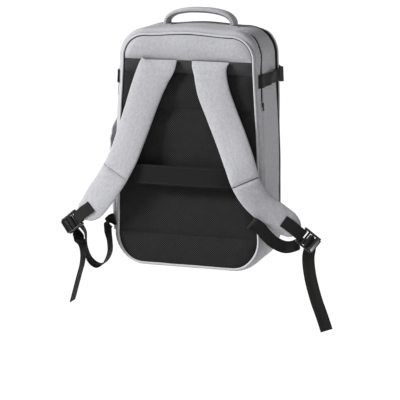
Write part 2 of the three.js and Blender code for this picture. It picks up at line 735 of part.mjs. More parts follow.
// Direction up one side of the body, leaning as the side does.
function sideUp(sign, z, back) {
  const reach = WEB_WIDTH / 2;
  const low = sideSkin(sign, z - reach, back, 0);
  return sideSkin(sign, z + reach, back, 0).sub(low).normalize();
}

// Left side pocket: a sheet that swells from the gusset, open at its slanted mouth. It swells
// by powers of sines, full in the middle and quick to rise from the seams.
const POCKET_ACROSS = [0, 0.06, 0.16, 0.3, 0.45, 0.6, 0.75, 0.88, 0.95, 1];
const pocketSwell = (w, v) => {
  return POCKET_SWELL * Math.sin(Math.PI * w) ** 0.7 * Math.sin((Math.PI / 2) * v) ** 0.6;
};
const rimAt = (w) => lerp(POCKET_RIM_BACK, POCKET_RIM_FRONT, Math.sin((Math.PI / 2) * w));

function pocketSheet(heights, wall) {
  const grid = (lift) => heights.map(({ z, v }) => POCKET_ACROSS.map((w) => {
    const back = lerp(POCKET_BACK, POCKET_FRONT, w);
    return sideSkin(-1, z(w), back, POCKET_CLEAR + lift + pocketSwell(w, v));
  }));
  return sheet(grid(wall), grid(0));
}

function sidePocket() {
  const heights = [0, 0.12, 0.3, 0.5, 0.75, 1].map((v) => {
    return { v, z: (w) => lerp(POCKET_FOOT, rimAt(w) - POCKET_RIM, v) };
  });
  return pocketSheet(heights, POCKET_WALL);
}

function pocketRim() {
  const heights = [GAP, POCKET_RIM].map((rise) => {
    return { v: 1, z: (w) => rimAt(w) - POCKET_RIM + rise };
  });
  return pocketSheet(heights, POCKET_RIM_WALL);
}

// Top handle: an arch with sewn feet, midway between the two zips.
const HANDLE = named(["x", "rise"], [
  [-1, 0], [-1, 0.2], [-0.94, 0.46], [-0.76, 0.75], [-0.4, 0.95],
  [0, 1], [0.4, 0.95], [0.76, 0.75], [0.94, 0.46], [1, 0.2], [1, 0],
]);
const TOP_LINE = OUTLINE.slice(HALF_COUNT - 6, HALF_COUNT).reverse();
const topAt = (x) => read(TOP_LINE, "x", "z", Math.abs(x));

function topHandle() {
  const foot = topAt(HANDLE_HALF - HANDLE_THICK / 2) + FOOT_THICK + 2 * GAP;
  return band(HANDLE.map(({ x, rise }) => ({
    at: vec(x * HANDLE_HALF, 0, foot + rise * HANDLE_RISE),
    across: vec(0, 1, 0),
    width: HANDLE_WIDTH,
    thick: HANDLE_THICK,
  })), PADDED);
}

function handleFoot(sign) {
  const grid = (lift) => [-0.5, 0, 0.5].map((v) => [-0.5, -0.17, 0.17, 0.5].map((u) => {
    const x = HANDLE_HALF + u * FOOT_LENGTH;
    return vec(sign * x, v * FOOT_WIDTH, topAt(x) + GAP + lift);
  }));
  return sheet(grid(FOOT_THICK), grid(0));
}

// Compression strap of one side, high on the gusset: sewn anchor, webbing, buckle, front tab.
function sideRun(sign, backs, thick, width, lifts) {
  return band(backs.map((back, i) => ({
    at: sideSkin(sign, SIDE_HEIGHT, back, SIDE_CLEAR + thick / 2 + (lifts ? lifts[i] : 0)),
    across: sideUp(sign, SIDE_HEIGHT, back),
    width,
    thick,
  })), FLAT);
}

function sideAnchor(sign) {
  const backs = [0, 0.15, 0.35, 0.65, 1].map((t) => lerp(SIDE_ANCHOR_BACK, SIDE_ANCHOR_FRONT, t));
  return sideRun(sign, backs, WEB_THICK + ANCHOR_HEM, WEB_WIDTH + 2 * ANCHOR_HEM);
}

function sideWebbing(sign) {
  const shares = [0, 0.2, 0.45, 0.7, 0.9, 1];
  const from = SIDE_ANCHOR_FRONT + GAP;
  const backs = shares.map((t) => lerp(from, SIDE_BUCKLE_BACK - GAP, t));
  const middle = (SIDE_BUCKLE_THICK - WEB_THICK) / 2;
  const lifts = shares.map((t) => {
    return SIDE_SLACK * Math.sin(Math.PI * t) + middle * clamp(t * 5 - 4, 0, 1);
  });
  return sideRun(sign, backs, WEB_THICK, WEB_WIDTH, lifts);
}

// Side view of a fastened buckle: shares of its length and of its width.
const BUCKLE_OUTLINE = [
  [0, -0.42], [0.05, -0.5], [0.3, -0.5], [0.36, -0.44], [0.6, -0.44], [0.68, -0.5], [0.95, -0.5],
  [1, -0.42], [1, 0.42], [0.95, 0.5], [0.68, 0.5], [0.6, 0.44], [0.36, 0.44], [0.3, 0.5],
  [0.05, 0.5], [0, 0.42],
];

// A buckle's place on a side: its start, its direction towards the front, and up the side.
function buckleFrame(sign) {
  const clear = 2 * SIDE_CLEAR;
  const from = sideSkin(sign, SIDE_HEIGHT, SIDE_BUCKLE_BACK, clear);
  const to = sideSkin(sign, SIDE_HEIGHT, SIDE_BUCKLE_BACK + SIDE_BUCKLE_LENGTH, clear);
  const along = to.clone().sub(from).normalize();
  const up = sideUp(sign, SIDE_HEIGHT, SIDE_BUCKLE_BACK);
  up.addScaledVector(along, -up.dot(along)).normalize();
  const out = along.clone().cross(up).multiplyScalar(sign);
  const rises = [0.25, 0.5, 0.75].map((t) => {
    const back = SIDE_BUCKLE_BACK + t * SIDE_BUCKLE_LENGTH;
    return sideSkin(sign, SIDE_HEIGHT, back, clear).sub(from).dot(out);
  });
  from.addScaledVector(out, Math.max(0, ...rises));
  return { along, up: up.multiplyScalar(sign), origin: from };
}

function sideBuckle() {
  const shape = new THREE.Shape(BUCKLE_OUTLINE.map(([u, v]) => {
    return new THREE.Vector2(u * SIDE_BUCKLE_LENGTH, v * SIDE_BUCKLE_WIDTH);
  }));
  const bevel = SIDE_BUCKLE_BEVEL;
  return new THREE.ExtrudeGeometry(shape, {
    depth: SIDE_BUCKLE_THICK - 2 * bevel,
    bevelSize: bevel,
    bevelOffset: -bevel,
    bevelThickness: bevel,
    bevelSegments: 1,
  }).translate(0, 0, bevel);
}

function sideTab(sign) {
  const from = SIDE_BUCKLE_BACK + SIDE_BUCKLE_LENGTH + SIDE_TAB_GAP;
  const to = DEPTH - SIDE_TAB_END;
  const backs = [0, 0.35, 0.7, 1].map((t) => lerp(from, to, t));
  return sideRun(sign, backs, WEB_THICK, WEB_WIDTH);
}

// Zip slider with its hanging puller: a block, a neck and a tongue with a rounded end.
function zipSlider() {
  const half = SLIDER_WIDTH / 2;
  const tongue = PULLER_WIDTH / 2;
  const neck = tongue / 2;
  const foot = SLIDER_LENGTH + PULLER_LENGTH;
  const shape = new THREE.Shape();
  shape.moveTo(-half, 0);
  shape.lineTo(-half * 0.7, -SLIDER_LENGTH);
  shape.lineTo(-neck, -SLIDER_LENGTH);
  shape.lineTo(-neck, -SLIDER_LENGTH - tongue);
  shape.lineTo(-tongue, -SLIDER_LENGTH - 2 * tongue);
  shape.lineTo(-tongue, tongue - foot);
  shape.absarc(0, tongue - foot, tongue, Math.PI, 2 * Math.PI, false);
  shape.lineTo(tongue, -SLIDER_LENGTH - 2 * tongue);
  shape.lineTo(neck, -SLIDER_LENGTH - tongue);
  shape.lineTo(neck, -SLIDER_LENGTH);
  shape.lineTo(half * 0.7, -SLIDER_LENGTH);
  shape.lineTo(half, 0);
  shape.closePath();
  return new THREE.ExtrudeGeometry(shape, {
    depth: SLIDER_THICK,
    bevelEnabled: false,
    curveSegments: 5,
  });
}

// A slider's place on a side: its head, its direction towards the front, and up the side.
function sliderFrame(sign, z, back) {
  const origin = sideSkin(sign, z, back, SLIDER_CLEAR);
  const out = sideSkin(sign, z, back, 2 * SLIDER_CLEAR).sub(origin).normalize();
  const foot = sideSkin(sign, z - SLIDER_LENGTH - PULLER_LENGTH, back, SLIDER_CLEAR);
  const up = origin.clone().sub(foot).normalize();
  return { along: up.clone().cross(out).normalize(), up, origin };
}

const GREY = new THREE.Color(0.6, 0.6, 0.63);
const MESH = new THREE.Color(0.035, 0.035, 0.037);
const BLACK = new THREE.Color(0.015, 0.015, 0.016);
const group = new THREE.Group();

function add(name, geometry, colour, roughness = 0.9) {
  const material = new THREE.MeshStandardMaterial({ color: colour, roughness, metalness: 0 });
  const mesh = new THREE.Mesh(geometry, material);
  mesh.name = name;
  group.add(mesh);
  return mesh;
}

// Turns a piece so that its X, Y and Z lie along a frame's directions.
function seat(mesh, origin, along, out) {
  const third = along.clone().cross(out);
  mesh.quaternion.setFromRotationMatrix(new THREE.Matrix4().makeBasis(along, out, third));
  mesh.position.copy(origin);
}

add("back_panel", backPanel(), MESH);
add("back_yoke", backYoke(), GREY);
add("rear_piping", rearPiping(), GREY);
add("rear_gusset", rearGusset(), GREY);
add("laptop_zip", laptopZip(), BLACK, 0.6);
add("main_gusset", mainGusset(), GREY);
add("main_zip", mainZip(), BLACK, 0.6);
add("front_panel", frontPanel(), GREY);
add("left_side_pocket", sidePocket(), GREY);
add("left_pocket_rim", pocketRim(), GREY);
add("trolley_strap", trolleyStrap(), MESH);
add("top_handle", topHandle(), GREY);

const SIDES = [
  { side: "left", sign: -1, table: STRAP_LEFT, loop: LOOP_LEFT, tail: TAIL_LEFT },
  { side: "right", sign: 1, table: STRAP_RIGHT, loop: LOOP_RIGHT, tail: TAIL_RIGHT },
];
for (const { side, sign, table, loop, tail } of SIDES) {
  const tip = strapTip(table);
  add("handle_foot_" + side, handleFoot(sign), GREY);
  add("shoulder_strap_" + side, strap(table), GREY);
  add("strap_patch_" + side, strapPatch(table), BLACK);
  add("adjuster_webbing_" + side, adjuster(sign, table, loop, tail), BLACK);
  const lock = add("ladder_lock_" + side, ladderLock(), BLACK, 0.4);
  seat(lock, tip.point(LOCK_REACH, 0), tip.along, tip.out);
  add("side_anchor_" + side, sideAnchor(sign), BLACK);
  add("side_webbing_" + side, sideWebbing(sign), BLACK);
  add("side_tab_" + side, sideTab(sign), BLACK);
  const frame = buckleFrame(sign);
  const buckle = add("side_buckle_" + side, sideBuckle(), BLACK, 0.4);
  seat(buckle, frame.origin, frame.along, frame.up);
}

const SLIDERS = [
  { name: "laptop_slider", sign: 1, z: LAPTOP_ZIP_END, back: DEPTH * 0.04 + ZIP_WIDTH / 2 },
  { name: "main_slider", sign: -1, z: SIDE_HEIGHT - MAIN_SLIDER_DROP, back: MAIN_ZIP_BACK },
];
for (const { name, sign, z, back } of SLIDERS) {
  const frame = sliderFrame(sign, z, back);
  seat(add(name, zipSlider(), BLACK, 0.4), frame.origin, frame.along, frame.up);
}

export default group;
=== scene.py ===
"""A laptop backpack, seen on its harness side: cloth, mesh, webbing, zips and moulded plastic.

X points to the wearer's right, Y from the harness side to the front, Z up. All lengths are in
metres. The origin is at the middle of the flat underside, at half the depth of the bag.
"""
import logging
import math
from dataclasses import dataclass
from enum import Enum
from typing import Any, Callable, Optional, Sequence, Union

import bpy
import numpy as np
from mathutils import Matrix, Vector


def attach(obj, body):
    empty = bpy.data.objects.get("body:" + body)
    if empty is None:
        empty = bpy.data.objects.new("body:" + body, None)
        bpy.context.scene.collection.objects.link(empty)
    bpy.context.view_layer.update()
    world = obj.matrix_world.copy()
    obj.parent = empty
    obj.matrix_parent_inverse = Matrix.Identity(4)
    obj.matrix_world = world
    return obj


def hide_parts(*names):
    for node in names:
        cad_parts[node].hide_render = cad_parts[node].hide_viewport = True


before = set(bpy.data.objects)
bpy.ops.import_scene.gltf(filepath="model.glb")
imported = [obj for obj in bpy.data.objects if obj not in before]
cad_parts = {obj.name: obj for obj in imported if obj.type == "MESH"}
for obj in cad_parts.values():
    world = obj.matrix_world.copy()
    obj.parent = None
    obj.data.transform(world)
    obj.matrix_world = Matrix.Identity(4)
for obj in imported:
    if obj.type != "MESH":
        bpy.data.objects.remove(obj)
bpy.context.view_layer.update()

LOG = logging.getLogger("backpack")
MM = 0.001
GAP = 0.3 * MM
SIMULATED_FRAMES = 12
Y_AXIS = np.array([[0.0, 1.0, 0.0]])
Z_AXIS = np.array([[0.0, 0.0, 1.0]])

Array = np.ndarray
Colour = tuple[float, float, float]
Number = Union[float, "Value"]


class Slot(Enum):
    """Material slots of the record."""

    CLOTH = "melange_cloth"
    MESH = "spacer_mesh"
    PIPING = "piping"
    ZIP = "zip_tape"
    WEBBING = "webbing"
    PLASTIC = "moulded_plastic"
    METAL = "slider_metal"


class Side(Enum):
    """The two sides of the bag, with the sign of X there."""

    LEFT = -1
    RIGHT = 1

    @property
    def word(self) -> str:
        """The side's name in lower case."""
        return self.name.lower()


# Shader maths

class Value:
    """A shader socket that takes part in arithmetic with numbers and other sockets."""

    def __init__(self, shader: "Shader", socket: bpy.types.NodeSocket) -> None:
        """Wraps a socket of a shader."""
        self.shader = shader
        self.socket = socket

    def math(self, operation: str, *others: Number, clamp: bool = False) -> "Value":
        """Adds a Math node.

        Args:
            operation: Name of the Math node's operation.
            others: The second and third values.
            clamp: Whether the result is kept between 0 and 1.

        Returns:
            The node's result.
        """
        settings = {"operation": operation, "use_clamp": clamp}
        return self.shader.node("ShaderNodeMath", settings, [self, *others])[0]

    def __add__(self, other: Number) -> "Value":
        """Sum."""
        return self.math("ADD", other)

    __radd__ = __add__

    def __sub__(self, other: Number) -> "Value":
        """Difference."""
        return self.math("SUBTRACT", other)

    def __rsub__(self, other: Number) -> "Value":
        """Difference, reflected."""
        return self.math("MULTIPLY", -1.0).math("ADD", other)

    def __mul__(self, other: Number) -> "Value":
        """Product."""
        return self.math("MULTIPLY", other)

    __rmul__ = __mul__

    def __truediv__(self, other: Number) -> "Value":
        """Quotient."""
        return self.math("DIVIDE", other)

    def __abs__(self) -> "Value":
        """Absolute value."""
        return self.math("ABSOLUTE")

    def __gt__(self, other: Number) -> "Value":
        """One where this value is the greater, else zero."""
        return self.math("GREATER_THAN", other)

    def sine(self) -> "Value":
        """Sine of the value in radians."""
        return self.math("SINE")

    def ramp(self, low: float, high: float) -> "Value":
        """Zero below low, one above high and smooth between them."""
        settings = {"interpolation_type": "SMOOTHSTEP"}
        inputs = {"Value": self, "From Min": low, "From Max": high}
        return self.shader.node("ShaderNodeMapRange", settings, inputs)[0]


class Shader:
    """A material under construction round one Principled surface."""

    def __init__(self, name: str) -> None:
        """Starts an empty material of that name."""
        self.material = bpy.data.materials.new(name)
        self.material.use_nodes = True
        self.tree = self.material.node_tree
        self.surface = self.tree.nodes["Principled BSDF"]

    def node(self, kind: str, settings: dict[str, Any], inputs: Any) -> list[Value]:
        """Adds one node.

        Args:
            kind: Type of the node.
            settings: Properties that are set first; "stops" fills a colour ramp.
            inputs: Values or links by socket name, or in a list by position.

        Returns:
            The node's outputs.
        """
        made = self.tree.nodes.new(kind)
        for key, value in settings.items():
            if key == "stops":
                self._stops(made.color_ramp, value)
            else:
                setattr(made, key, value)
        pairs = inputs.items() if isinstance(inputs, dict) else enumerate(inputs)
        for key, value in pairs:
            self.feed(made.inputs[key], value)
        return [Value(self, socket) for socket in made.outputs]

    @staticmethod
    def _stops(ramp: bpy.types.ColorRamp, stops: Sequence[tuple[float, Colour]]) -> None:
        """Fills a colour ramp with stops of place and colour."""
        while len(ramp.elements) < len(stops):
            ramp.elements.new(0.5)
        for element, (place, colour) in zip(ramp.elements, stops):
            element.position = place
            element.color = (*colour, 1.0)

    def feed(self, socket: bpy.types.NodeSocket, value: Any) -> None:
        """Links a value to a socket, or sets the socket's own number or colour."""
        if isinstance(value, Value):
            self.tree.links.new(value.socket, socket)
        elif isinstance(value, tuple) and len(socket.default_value) == 4:
            socket.default_value = (*value, 1.0)
        else:
            socket.default_value = value

    def finish(self, **sockets: Any) -> bpy.types.Material:
        """Feeds the surface's sockets, named with underscores for blanks.

        Args:
            sockets: Value for each socket of the Principled surface.

        Returns:
            The finished material.
        """
        for key, value in sockets.items():
            title = key.replace("_", " ").title().replace("Ior", "IOR")
            self.feed(self.surface.inputs[title], value)
        return self.material

    def flat(self) -> tuple[Value, Value]:
        """Lengths in metres along and across a piece, from its UV map."""
        uv = self.node("ShaderNodeUVMap", {"uv_map": "UVMap"}, {})[0]
        parts = self.node("ShaderNodeSeparateXYZ", {}, [uv])
        return parts[0], parts[1]

    def place(self) -> list[Value]:
        """X, Y and Z of the point on the object, in metres."""
        coordinates = self.node("ShaderNodeTexCoord", {}, {})
        return self.node("ShaderNodeSeparateXYZ", {}, [coordinates[3]])

    def noise(self, x: Number, y: Number, z: Number, detail: float = 2.0) -> Value:
        """Smooth noise from 0 to 1 at a point given in noise periods."""
        point = self.node("ShaderNodeCombineXYZ", {}, [x, y, z])[0]
        inputs = {"Vector": point, "Scale": 1.0, "Detail": detail, "Roughness": 0.55}
        return self.node("ShaderNodeTexNoise", {"noise_dimensions": "3D"}, inputs)[0]

    def mix(self, share: Number, low: Any, high: Any) -> Value:
        """Blends two colours by a share."""
        made = self.tree.nodes.new("ShaderNodeMix")
        made.data_type = "RGBA"
        colours = [socket for socket in made.inputs if socket.type == "RGBA"]
        self.feed(made.inputs[0], share)
        self.feed(colours[0], low)
        self.feed(colours[1], high)
        result = [socket for socket in made.outputs if socket.type == "RGBA"][0]
        return Value(self, result)

    def bump(self, height: Value, depth: float, strength: float = 1.0) -> Value:
        """Normal of a surface with heights from 0 to 1 times a depth in metres."""
        inputs = {"Height": height, "Distance": depth, "Strength": strength}
        return self.node("ShaderNodeBump", {}, inputs)[0]


# Finishes

@dataclass(frozen=True)
class Melange:
    """Plain woven cloth of light and dark fibres."""

    name: str
    light: Colour = (0.5, 0.5, 0.525)
    dark: Colour = (0.22, 0.22, 0.235)
    pitch: float = 0.75 * MM
    fleck: float = 5 * MM
    mottle: float = 9 * MM

    def material(self) -> bpy.types.Material:
        """The cloth: threads over and under, flecks along them and soft mottling."""
        s = Shader(self.name)
        u, v = s.flat()
        warp = (u * (math.pi / self.pitch)).sine()
        weft = (v * (math.pi / self.pitch)).sine()
        over = warp * weft > 0.0
        height = over * abs(warp) + (1.0 - over) * abs(weft)
        along = s.noise(u / self.fleck, v / self.pitch, 0.0)
        across = s.noise(u / self.pitch, v / self.fleck, 7.0)
        thread = over * along + (1.0 - over) * across
        cloud = s.noise(u / self.mottle, v / (self.mottle * 0.5), 3.0, 3.0)
        share = (thread * 0.85 + cloud * 0.3 + height * 0.12).ramp(0.25, 0.95)
        colour = s.mix(share, self.dark, self.light)
        relief = height * 0.8 + thread * 0.4
        normal = s.bump(relief, 0.25 * MM, 0.7)
        return s.finish(base_color=colour, roughness=0.92 - 0.1 * height, normal=normal,
                        sheen_weight=0.06, sheen_roughness=0.6, specular_ior_level=0.2)


@dataclass(frozen=True)
class SpacerMesh:
    """Knitted mesh with small holes in diagonal rows."""

    name: str
    thread: Colour = (0.036, 0.036, 0.0375)
    hole: Colour = (0.0008, 0.0008, 0.0008)
    pitch: float = 4.6 * MM
    plain_above: float = 1.0
    planar: bool = False

    def material(self) -> bpy.types.Material:
        """The mesh: diagonal rows of holes with soft rims, over a fine knit."""
        s = Shader(self.name)
        u, v = s.place()[::2] if self.planar else s.flat()
        turn = math.pi / self.pitch
        rising = ((u + v) * turn).sine()
        falling = ((u - v) * turn).sine()
        open_cloth = 1.0 - (s.place()[2] - self.plain_above).ramp(-0.5 * MM, 0.5 * MM)
        holes = abs(rising * falling).ramp(0.2, 0.5) * open_cloth
        knit = (u * (math.pi / 0.5 / MM)).sine() * (v * (math.pi / 0.6 / MM)).sine()
        cloud = s.noise(u / 0.02, v / 0.02, 0.0, 3.0)
        base = s.mix(cloud.ramp(0.3, 0.8) * 0.4, self.thread, (0.024, 0.024, 0.025))
        colour = s.mix(holes * 0.95, base, self.hole)
        height = (1.0 - holes) * 0.8 + knit * 0.1
        normal = s.bump(height, 0.7 * MM, 0.8)
        return s.finish(base_color=colour, roughness=0.78 + 0.15 * holes, normal=normal,
                        sheen_weight=0.0, sheen_roughness=0.5, specular_ior_level=0.12)


@dataclass(frozen=True)
class Ribbed:
    """Woven band: slanted ribs across it in columns that turn at each wale."""

    name: str
    colour: Colour = (0.004, 0.004, 0.0035)
    worn: Colour = (0.016, 0.0155, 0.013)
    rib: float = 1.3 * MM
    column: float = 3.1 * MM
    slant: float = 0.5
    depth: float = 0.35 * MM
    rough: float = 0.6

    def material(self) -> bpy.types.Material:
        """The band: ribs leaning one way and then the other, lighter on their crowns."""
        s = Shader(self.name)
        u, v = s.flat()
        wale = (v * (math.pi / self.column)).sine()
        turned = wale.math("ARCSINE") * (self.slant * self.column / math.pi)
        ribs = abs(((u + turned) * (math.pi / self.rib)).sine())
        height = ribs * (0.35 + 0.65 * abs(wale))
        dust = s.noise(u / 0.012, v / 0.006, 0.0, 3.0)
        share = height.ramp(0.3, 1.0) * dust.ramp(0.25, 0.8)
        colour = s.mix(share, self.colour, self.worn)
        normal = s.bump(height, self.depth, 0.8)
        return s.finish(base_color=colour, roughness=self.rough + 0.15 * dust, normal=normal,
                        sheen_weight=0.02, sheen_roughness=0.4, specular_ior_level=0.2)


@dataclass(frozen=True)
class Moulded:
    """Moulded plastic or painted metal with a fine grain and faint scuffs."""

    name: str
    colour: Colour = (0.006, 0.006, 0.0065)
    worn: Colour = (0.02, 0.02, 0.021)
    rough: float = 0.36
    metallic: float = 0.0
    grain: float = 0.5 * MM

    def material(self) -> bpy.types.Material:
        """The surface: spark-eroded grain, faint scuffs and uneven gloss."""
        s = Shader(self.name)
        x, y, z = s.place()
        grain = s.noise(x / self.grain, y / self.grain, z / self.grain, 2.0)
        scuff = s.noise(x / 0.004, y / 0.004, z / 0.012, 4.0)
        colour = s.mix(scuff.ramp(0.55, 0.8) * 0.5, self.colour, self.worn)
        normal = s.bump(grain, 0.05 * MM, 0.5)
        roughness = self.rough + 0.15 * scuff.ramp(0.4, 0.8)
        return s.finish(base_color=colour, roughness=roughness, normal=normal,
                        metallic=self.metallic, specular_ior_level=0.5)


class Finish(Enum):
    """Every finish on the bag."""

    CLOTH = Melange("cloth_melange")
    HEM = Melange("cloth_hem", light=(0.56, 0.56, 0.58), dark=(0.34, 0.34, 0.355), fleck=3 * MM)
    MESH = SpacerMesh("mesh_padded", plain_above=0.403, planar=True)
    LINING = SpacerMesh("mesh_lining")
    BAND = Ribbed("band_woven", colour=(0.0065, 0.0065, 0.007), worn=(0.0115, 0.0115, 0.012),
                  rib=0.8 * MM, column=1.6 * MM, depth=0.2 * MM, rough=0.8)
    WEBBING = Ribbed("webbing_woven")
    TAPE = Ribbed("zip_tape_woven", rib=0.7 * MM, column=1.2 * MM, depth=0.15 * MM, rough=0.75)
    COIL = Moulded("zip_coil_nylon", rough=0.42)
    PLASTIC = Moulded("plastic_moulded")
    METAL = Moulded("metal_painted", colour=(0.02, 0.02, 0.022), rough=0.3, metallic=0.6)
    THREAD_GREY = Moulded("thread_grey", colour=(0.38, 0.38, 0.395), worn=(0.5, 0.5, 0.51), rough=0.8)
    THREAD_BLACK = Moulded("thread_black", colour=(0.02, 0.02, 0.021), rough=0.7)
    # Painted shade: near-black cords laid in grooves, gaps and under edges stand in for the shade that
    # falls there.
    SEAM = Moulded("seam_shade", colour=(0.002, 0.002, 0.002), worn=(0.005, 0.005, 0.005), rough=0.95)

    def material(self) -> bpy.types.Material:
        """The finish's material, made once."""
        return bpy.data.materials.get(self.value.name) or self.value.material()


# Meshes

def lengths(points: Array, axis: int) -> Array:
    """Length walked along one axis of a grid of points, starting at zero."""
    steps = np.linalg.norm(np.diff(points, axis=axis), axis=-1)
    start = np.zeros_like(np.take(steps, [0], axis=axis))
    return np.concatenate([start, np.cumsum(steps, axis=axis)], axis=axis)


def signed_volume(points: Array, quads: Array) -> float:
    """Volume inside closed quads, negative where they face inwards."""
    a, b, c, d = (points[quads[:, k]] for k in range(4))
    first = np.einsum("ij,ij->i", a, np.cross(b, c))
    second = np.einsum("ij,ij->i", a, np.cross(c, d))
    return float((first + second).sum() / 6)


def linked(name: str, data: bpy.types.ID) -> bpy.types.Object:
    """An object of that data in the scene."""
    made = bpy.data.objects.new(name, data)
    bpy.context.scene.collection.objects.link(made)
    return made


def new_object(name: str, points: Array, faces: list, uv: Array) -> bpy.types.Object:
    """Makes an object of points and faces, smooth but for its sharp edges.

    Args:
        name: Name of the piece.
        points: Places of the vertices.
        faces: Vertex numbers of each face.
        uv: Lengths along and across for each corner of each face, in order.

    Returns:
        The object, at the origin.
    """
    mesh = bpy.data.meshes.new(name)
    mesh.from_pydata(points.tolist(), [], faces)
    layer = mesh.uv_layers.new(name="UVMap")
    layer.data.foreach_set("uv", np.ascontiguousarray(uv, dtype=np.float32).ravel())
    mesh.polygons.foreach_set("use_smooth", [True] * len(mesh.polygons))
    mesh.update()
    mesh.set_sharp_from_angle(angle=math.radians(50))
    return linked(name, mesh)


class Ends(Enum):
    """How the first and last rows of a grid are closed."""

    OPEN = "open"
    CAPS = "caps"
    STRIPS = "strips"


def surface(name: str, points: Array, ring_rows: bool, ring_columns: bool,
            ends: Ends = Ends.OPEN) -> bpy.types.Object:
    """Makes a piece from a grid of points: quads between neighbours in row and column.

    Args:
        name: Name of the piece.
        points: Grid of rows by columns by three.
        ring_rows: Whether the last row joins the first.
        ring_columns: Whether the last column joins the first.
        ends: How the first and last rows are closed.

    Returns:
        The piece, facing outwards, with lengths in metres as its UV map.
    """
    rows, columns = points.shape[:2]
    r, c = np.meshgrid(np.arange(rows - (not ring_rows)), np.arange(columns - (not ring_columns)),
                       indexing="ij")
    corners = [(r, c), (r, c + 1), (r + 1, c + 1), (r + 1, c)]
    quads = np.stack([(i % rows) * columns + j % columns for i, j in corners], -1).reshape(-1, 4)
    grown = np.concatenate([points, points[:1]], 0) if ring_rows else points
    grown = np.concatenate([grown, grown[:, :1]], 1) if ring_columns else grown
    flat = np.stack([lengths(grown, 0), lengths(grown, 1)], -1)
    uv = np.stack([flat[i, j] for i, j in corners], 2).reshape(-1, 4, 2)
    vertices = points.reshape(-1, 3)
    ring = np.arange(columns)
    last = (rows - 1) * columns
    caps: list = []
    if ends is Ends.STRIPS:
        half = columns // 2
        c = np.arange(half - 1)
        strip = np.stack([c, columns - 1 - c, columns - 2 - c, c + 1], -1)
        quads = np.concatenate([quads, strip, last + strip[:, ::-1]])
        uv = np.concatenate([uv, np.zeros((2 * len(strip), 4, 2))])
    elif ends is Ends.CAPS:
        caps = [ring[::-1].tolist(), (last + ring).tolist()]
    if signed_volume(vertices - vertices.mean(0), quads) < 0:
        quads = quads[:, ::-1]
        uv = uv[:, ::-1]
        caps = [cap[::-1] for cap in caps]
    cap_uv = np.zeros((sum(len(cap) for cap in caps), 2))
    return new_object(name, vertices, quads.tolist() + caps, np.concatenate([uv.reshape(-1, 2), cap_uv]))


def sheet(name: str, outer: Array, inner: Array) -> bpy.types.Object:
    """A closed sheet between two grids of points, with a rim on all four sides."""
    ring = np.concatenate([outer, inner[:, ::-1]], 1)
    return surface(name, ring, False, True, Ends.STRIPS)


def joined(name: str, pieces: Sequence[bpy.types.Object]) -> bpy.types.Object:
    """Joins pieces into one object of that name."""
    with bpy.context.temp_override(active_object=pieces[0], selected_editable_objects=list(pieces)):
        bpy.ops.object.join()
    pieces[0].name = name
    return pieces[0]


def beads(name: str, at: Array, axes: Array, size: tuple[float, float, float]) -> bpy.types.Object:
    """Many small capsules as one mesh: a ring of six sides swelling and closing along each.

    Args:
        name: Name of the piece.
        at: Middle of each capsule.
        axes: Three unit directions for each capsule: along, across and out.
        size: Half lengths along, across and out.

    Returns:
        The piece.
    """
    turns = np.arange(6) * math.pi / 3
    stops = np.array([(-0.95, 0.35), (-0.7, 0.85), (0.0, 1.0), (0.7, 0.85), (0.95, 0.35)])
    ring = np.stack([np.ones(6), np.cos(turns), np.sin(turns)], -1)
    shape = np.stack([stops[:, 0], stops[:, 1], stops[:, 1]], -1)[:, None] * ring[None]
    local = shape.reshape(-1, 3) * np.array(size)
    count, each = len(at), len(local)
    points = at[:, None] + np.einsum("vk,nkd->nvd", local, axes)
    r, c = np.meshgrid(np.arange(4), np.arange(6), indexing="ij")
    quad = np.stack([r * 6 + c, r * 6 + (c + 1) % 6, (r + 1) * 6 + (c + 1) % 6, (r + 1) * 6 + c], -1)
    if np.linalg.det(axes[0]) < 0:
        quad = quad[..., ::-1]
    shift = np.arange(count)[:, None, None] * each
    quads = (quad.reshape(1, -1, 4) + shift).reshape(-1, 4)
    flip = slice(None, None, -1) if np.linalg.det(axes[0]) > 0 else slice(None)
    lids = np.stack([np.arange(6)[flip], 24 + np.arange(6)[::-1][flip]])
    caps = (lids[None] + shift).reshape(-1, 6)
    uv = np.zeros((len(quads) * 4 + len(caps) * 6, 2))
    return new_object(name, points.reshape(-1, 3), quads.tolist() + caps.tolist(), uv)


def read_at(stops: Array, walked: Array, values: Array) -> Array:
    """Rows of values at lengths walked, by straight interpolation."""
    return np.stack([np.interp(stops, walked, column) for column in values.T], -1)


def tube(name: str, path: Array, first: Array, second: Array, radius: float, sides: int = 8,
         closed: bool = False) -> bpy.types.Object:
    """A round cord: a circle in two directions across a path, carried along it.

    Args:
        name: Name of the piece.
        path: Points along its middle.
        first: Direction across at each point, or one for all.
        second: The other direction across.
        radius: Radius of the cord.
        sides: Sides of its section.
        closed: Whether its end joins its start.

    Returns:
        The cord.
    """
    turns = np.arange(sides)[None, :, None] * 2 * math.pi / sides
    ring = np.cos(turns) * first[:, None] + np.sin(turns) * second[:, None]
    ends = Ends.OPEN if closed else Ends.CAPS
    return surface(name, path[:, None] + radius * ring, closed, True, ends)


def resampled(path: Array, count: int, closed: bool = False) -> Array:
    """Points at equal lengths along a path."""
    line = np.concatenate([path, path[:1]]) if closed else path
    walked = lengths(line, 0)
    stops = np.linspace(0, walked[-1], count, endpoint=not closed)
    return read_at(stops, walked, line)


def unit(vectors: Array) -> Array:
    """Vectors scaled to length one."""
    return vectors / np.linalg.norm(vectors, axis=-1, keepdims=True)


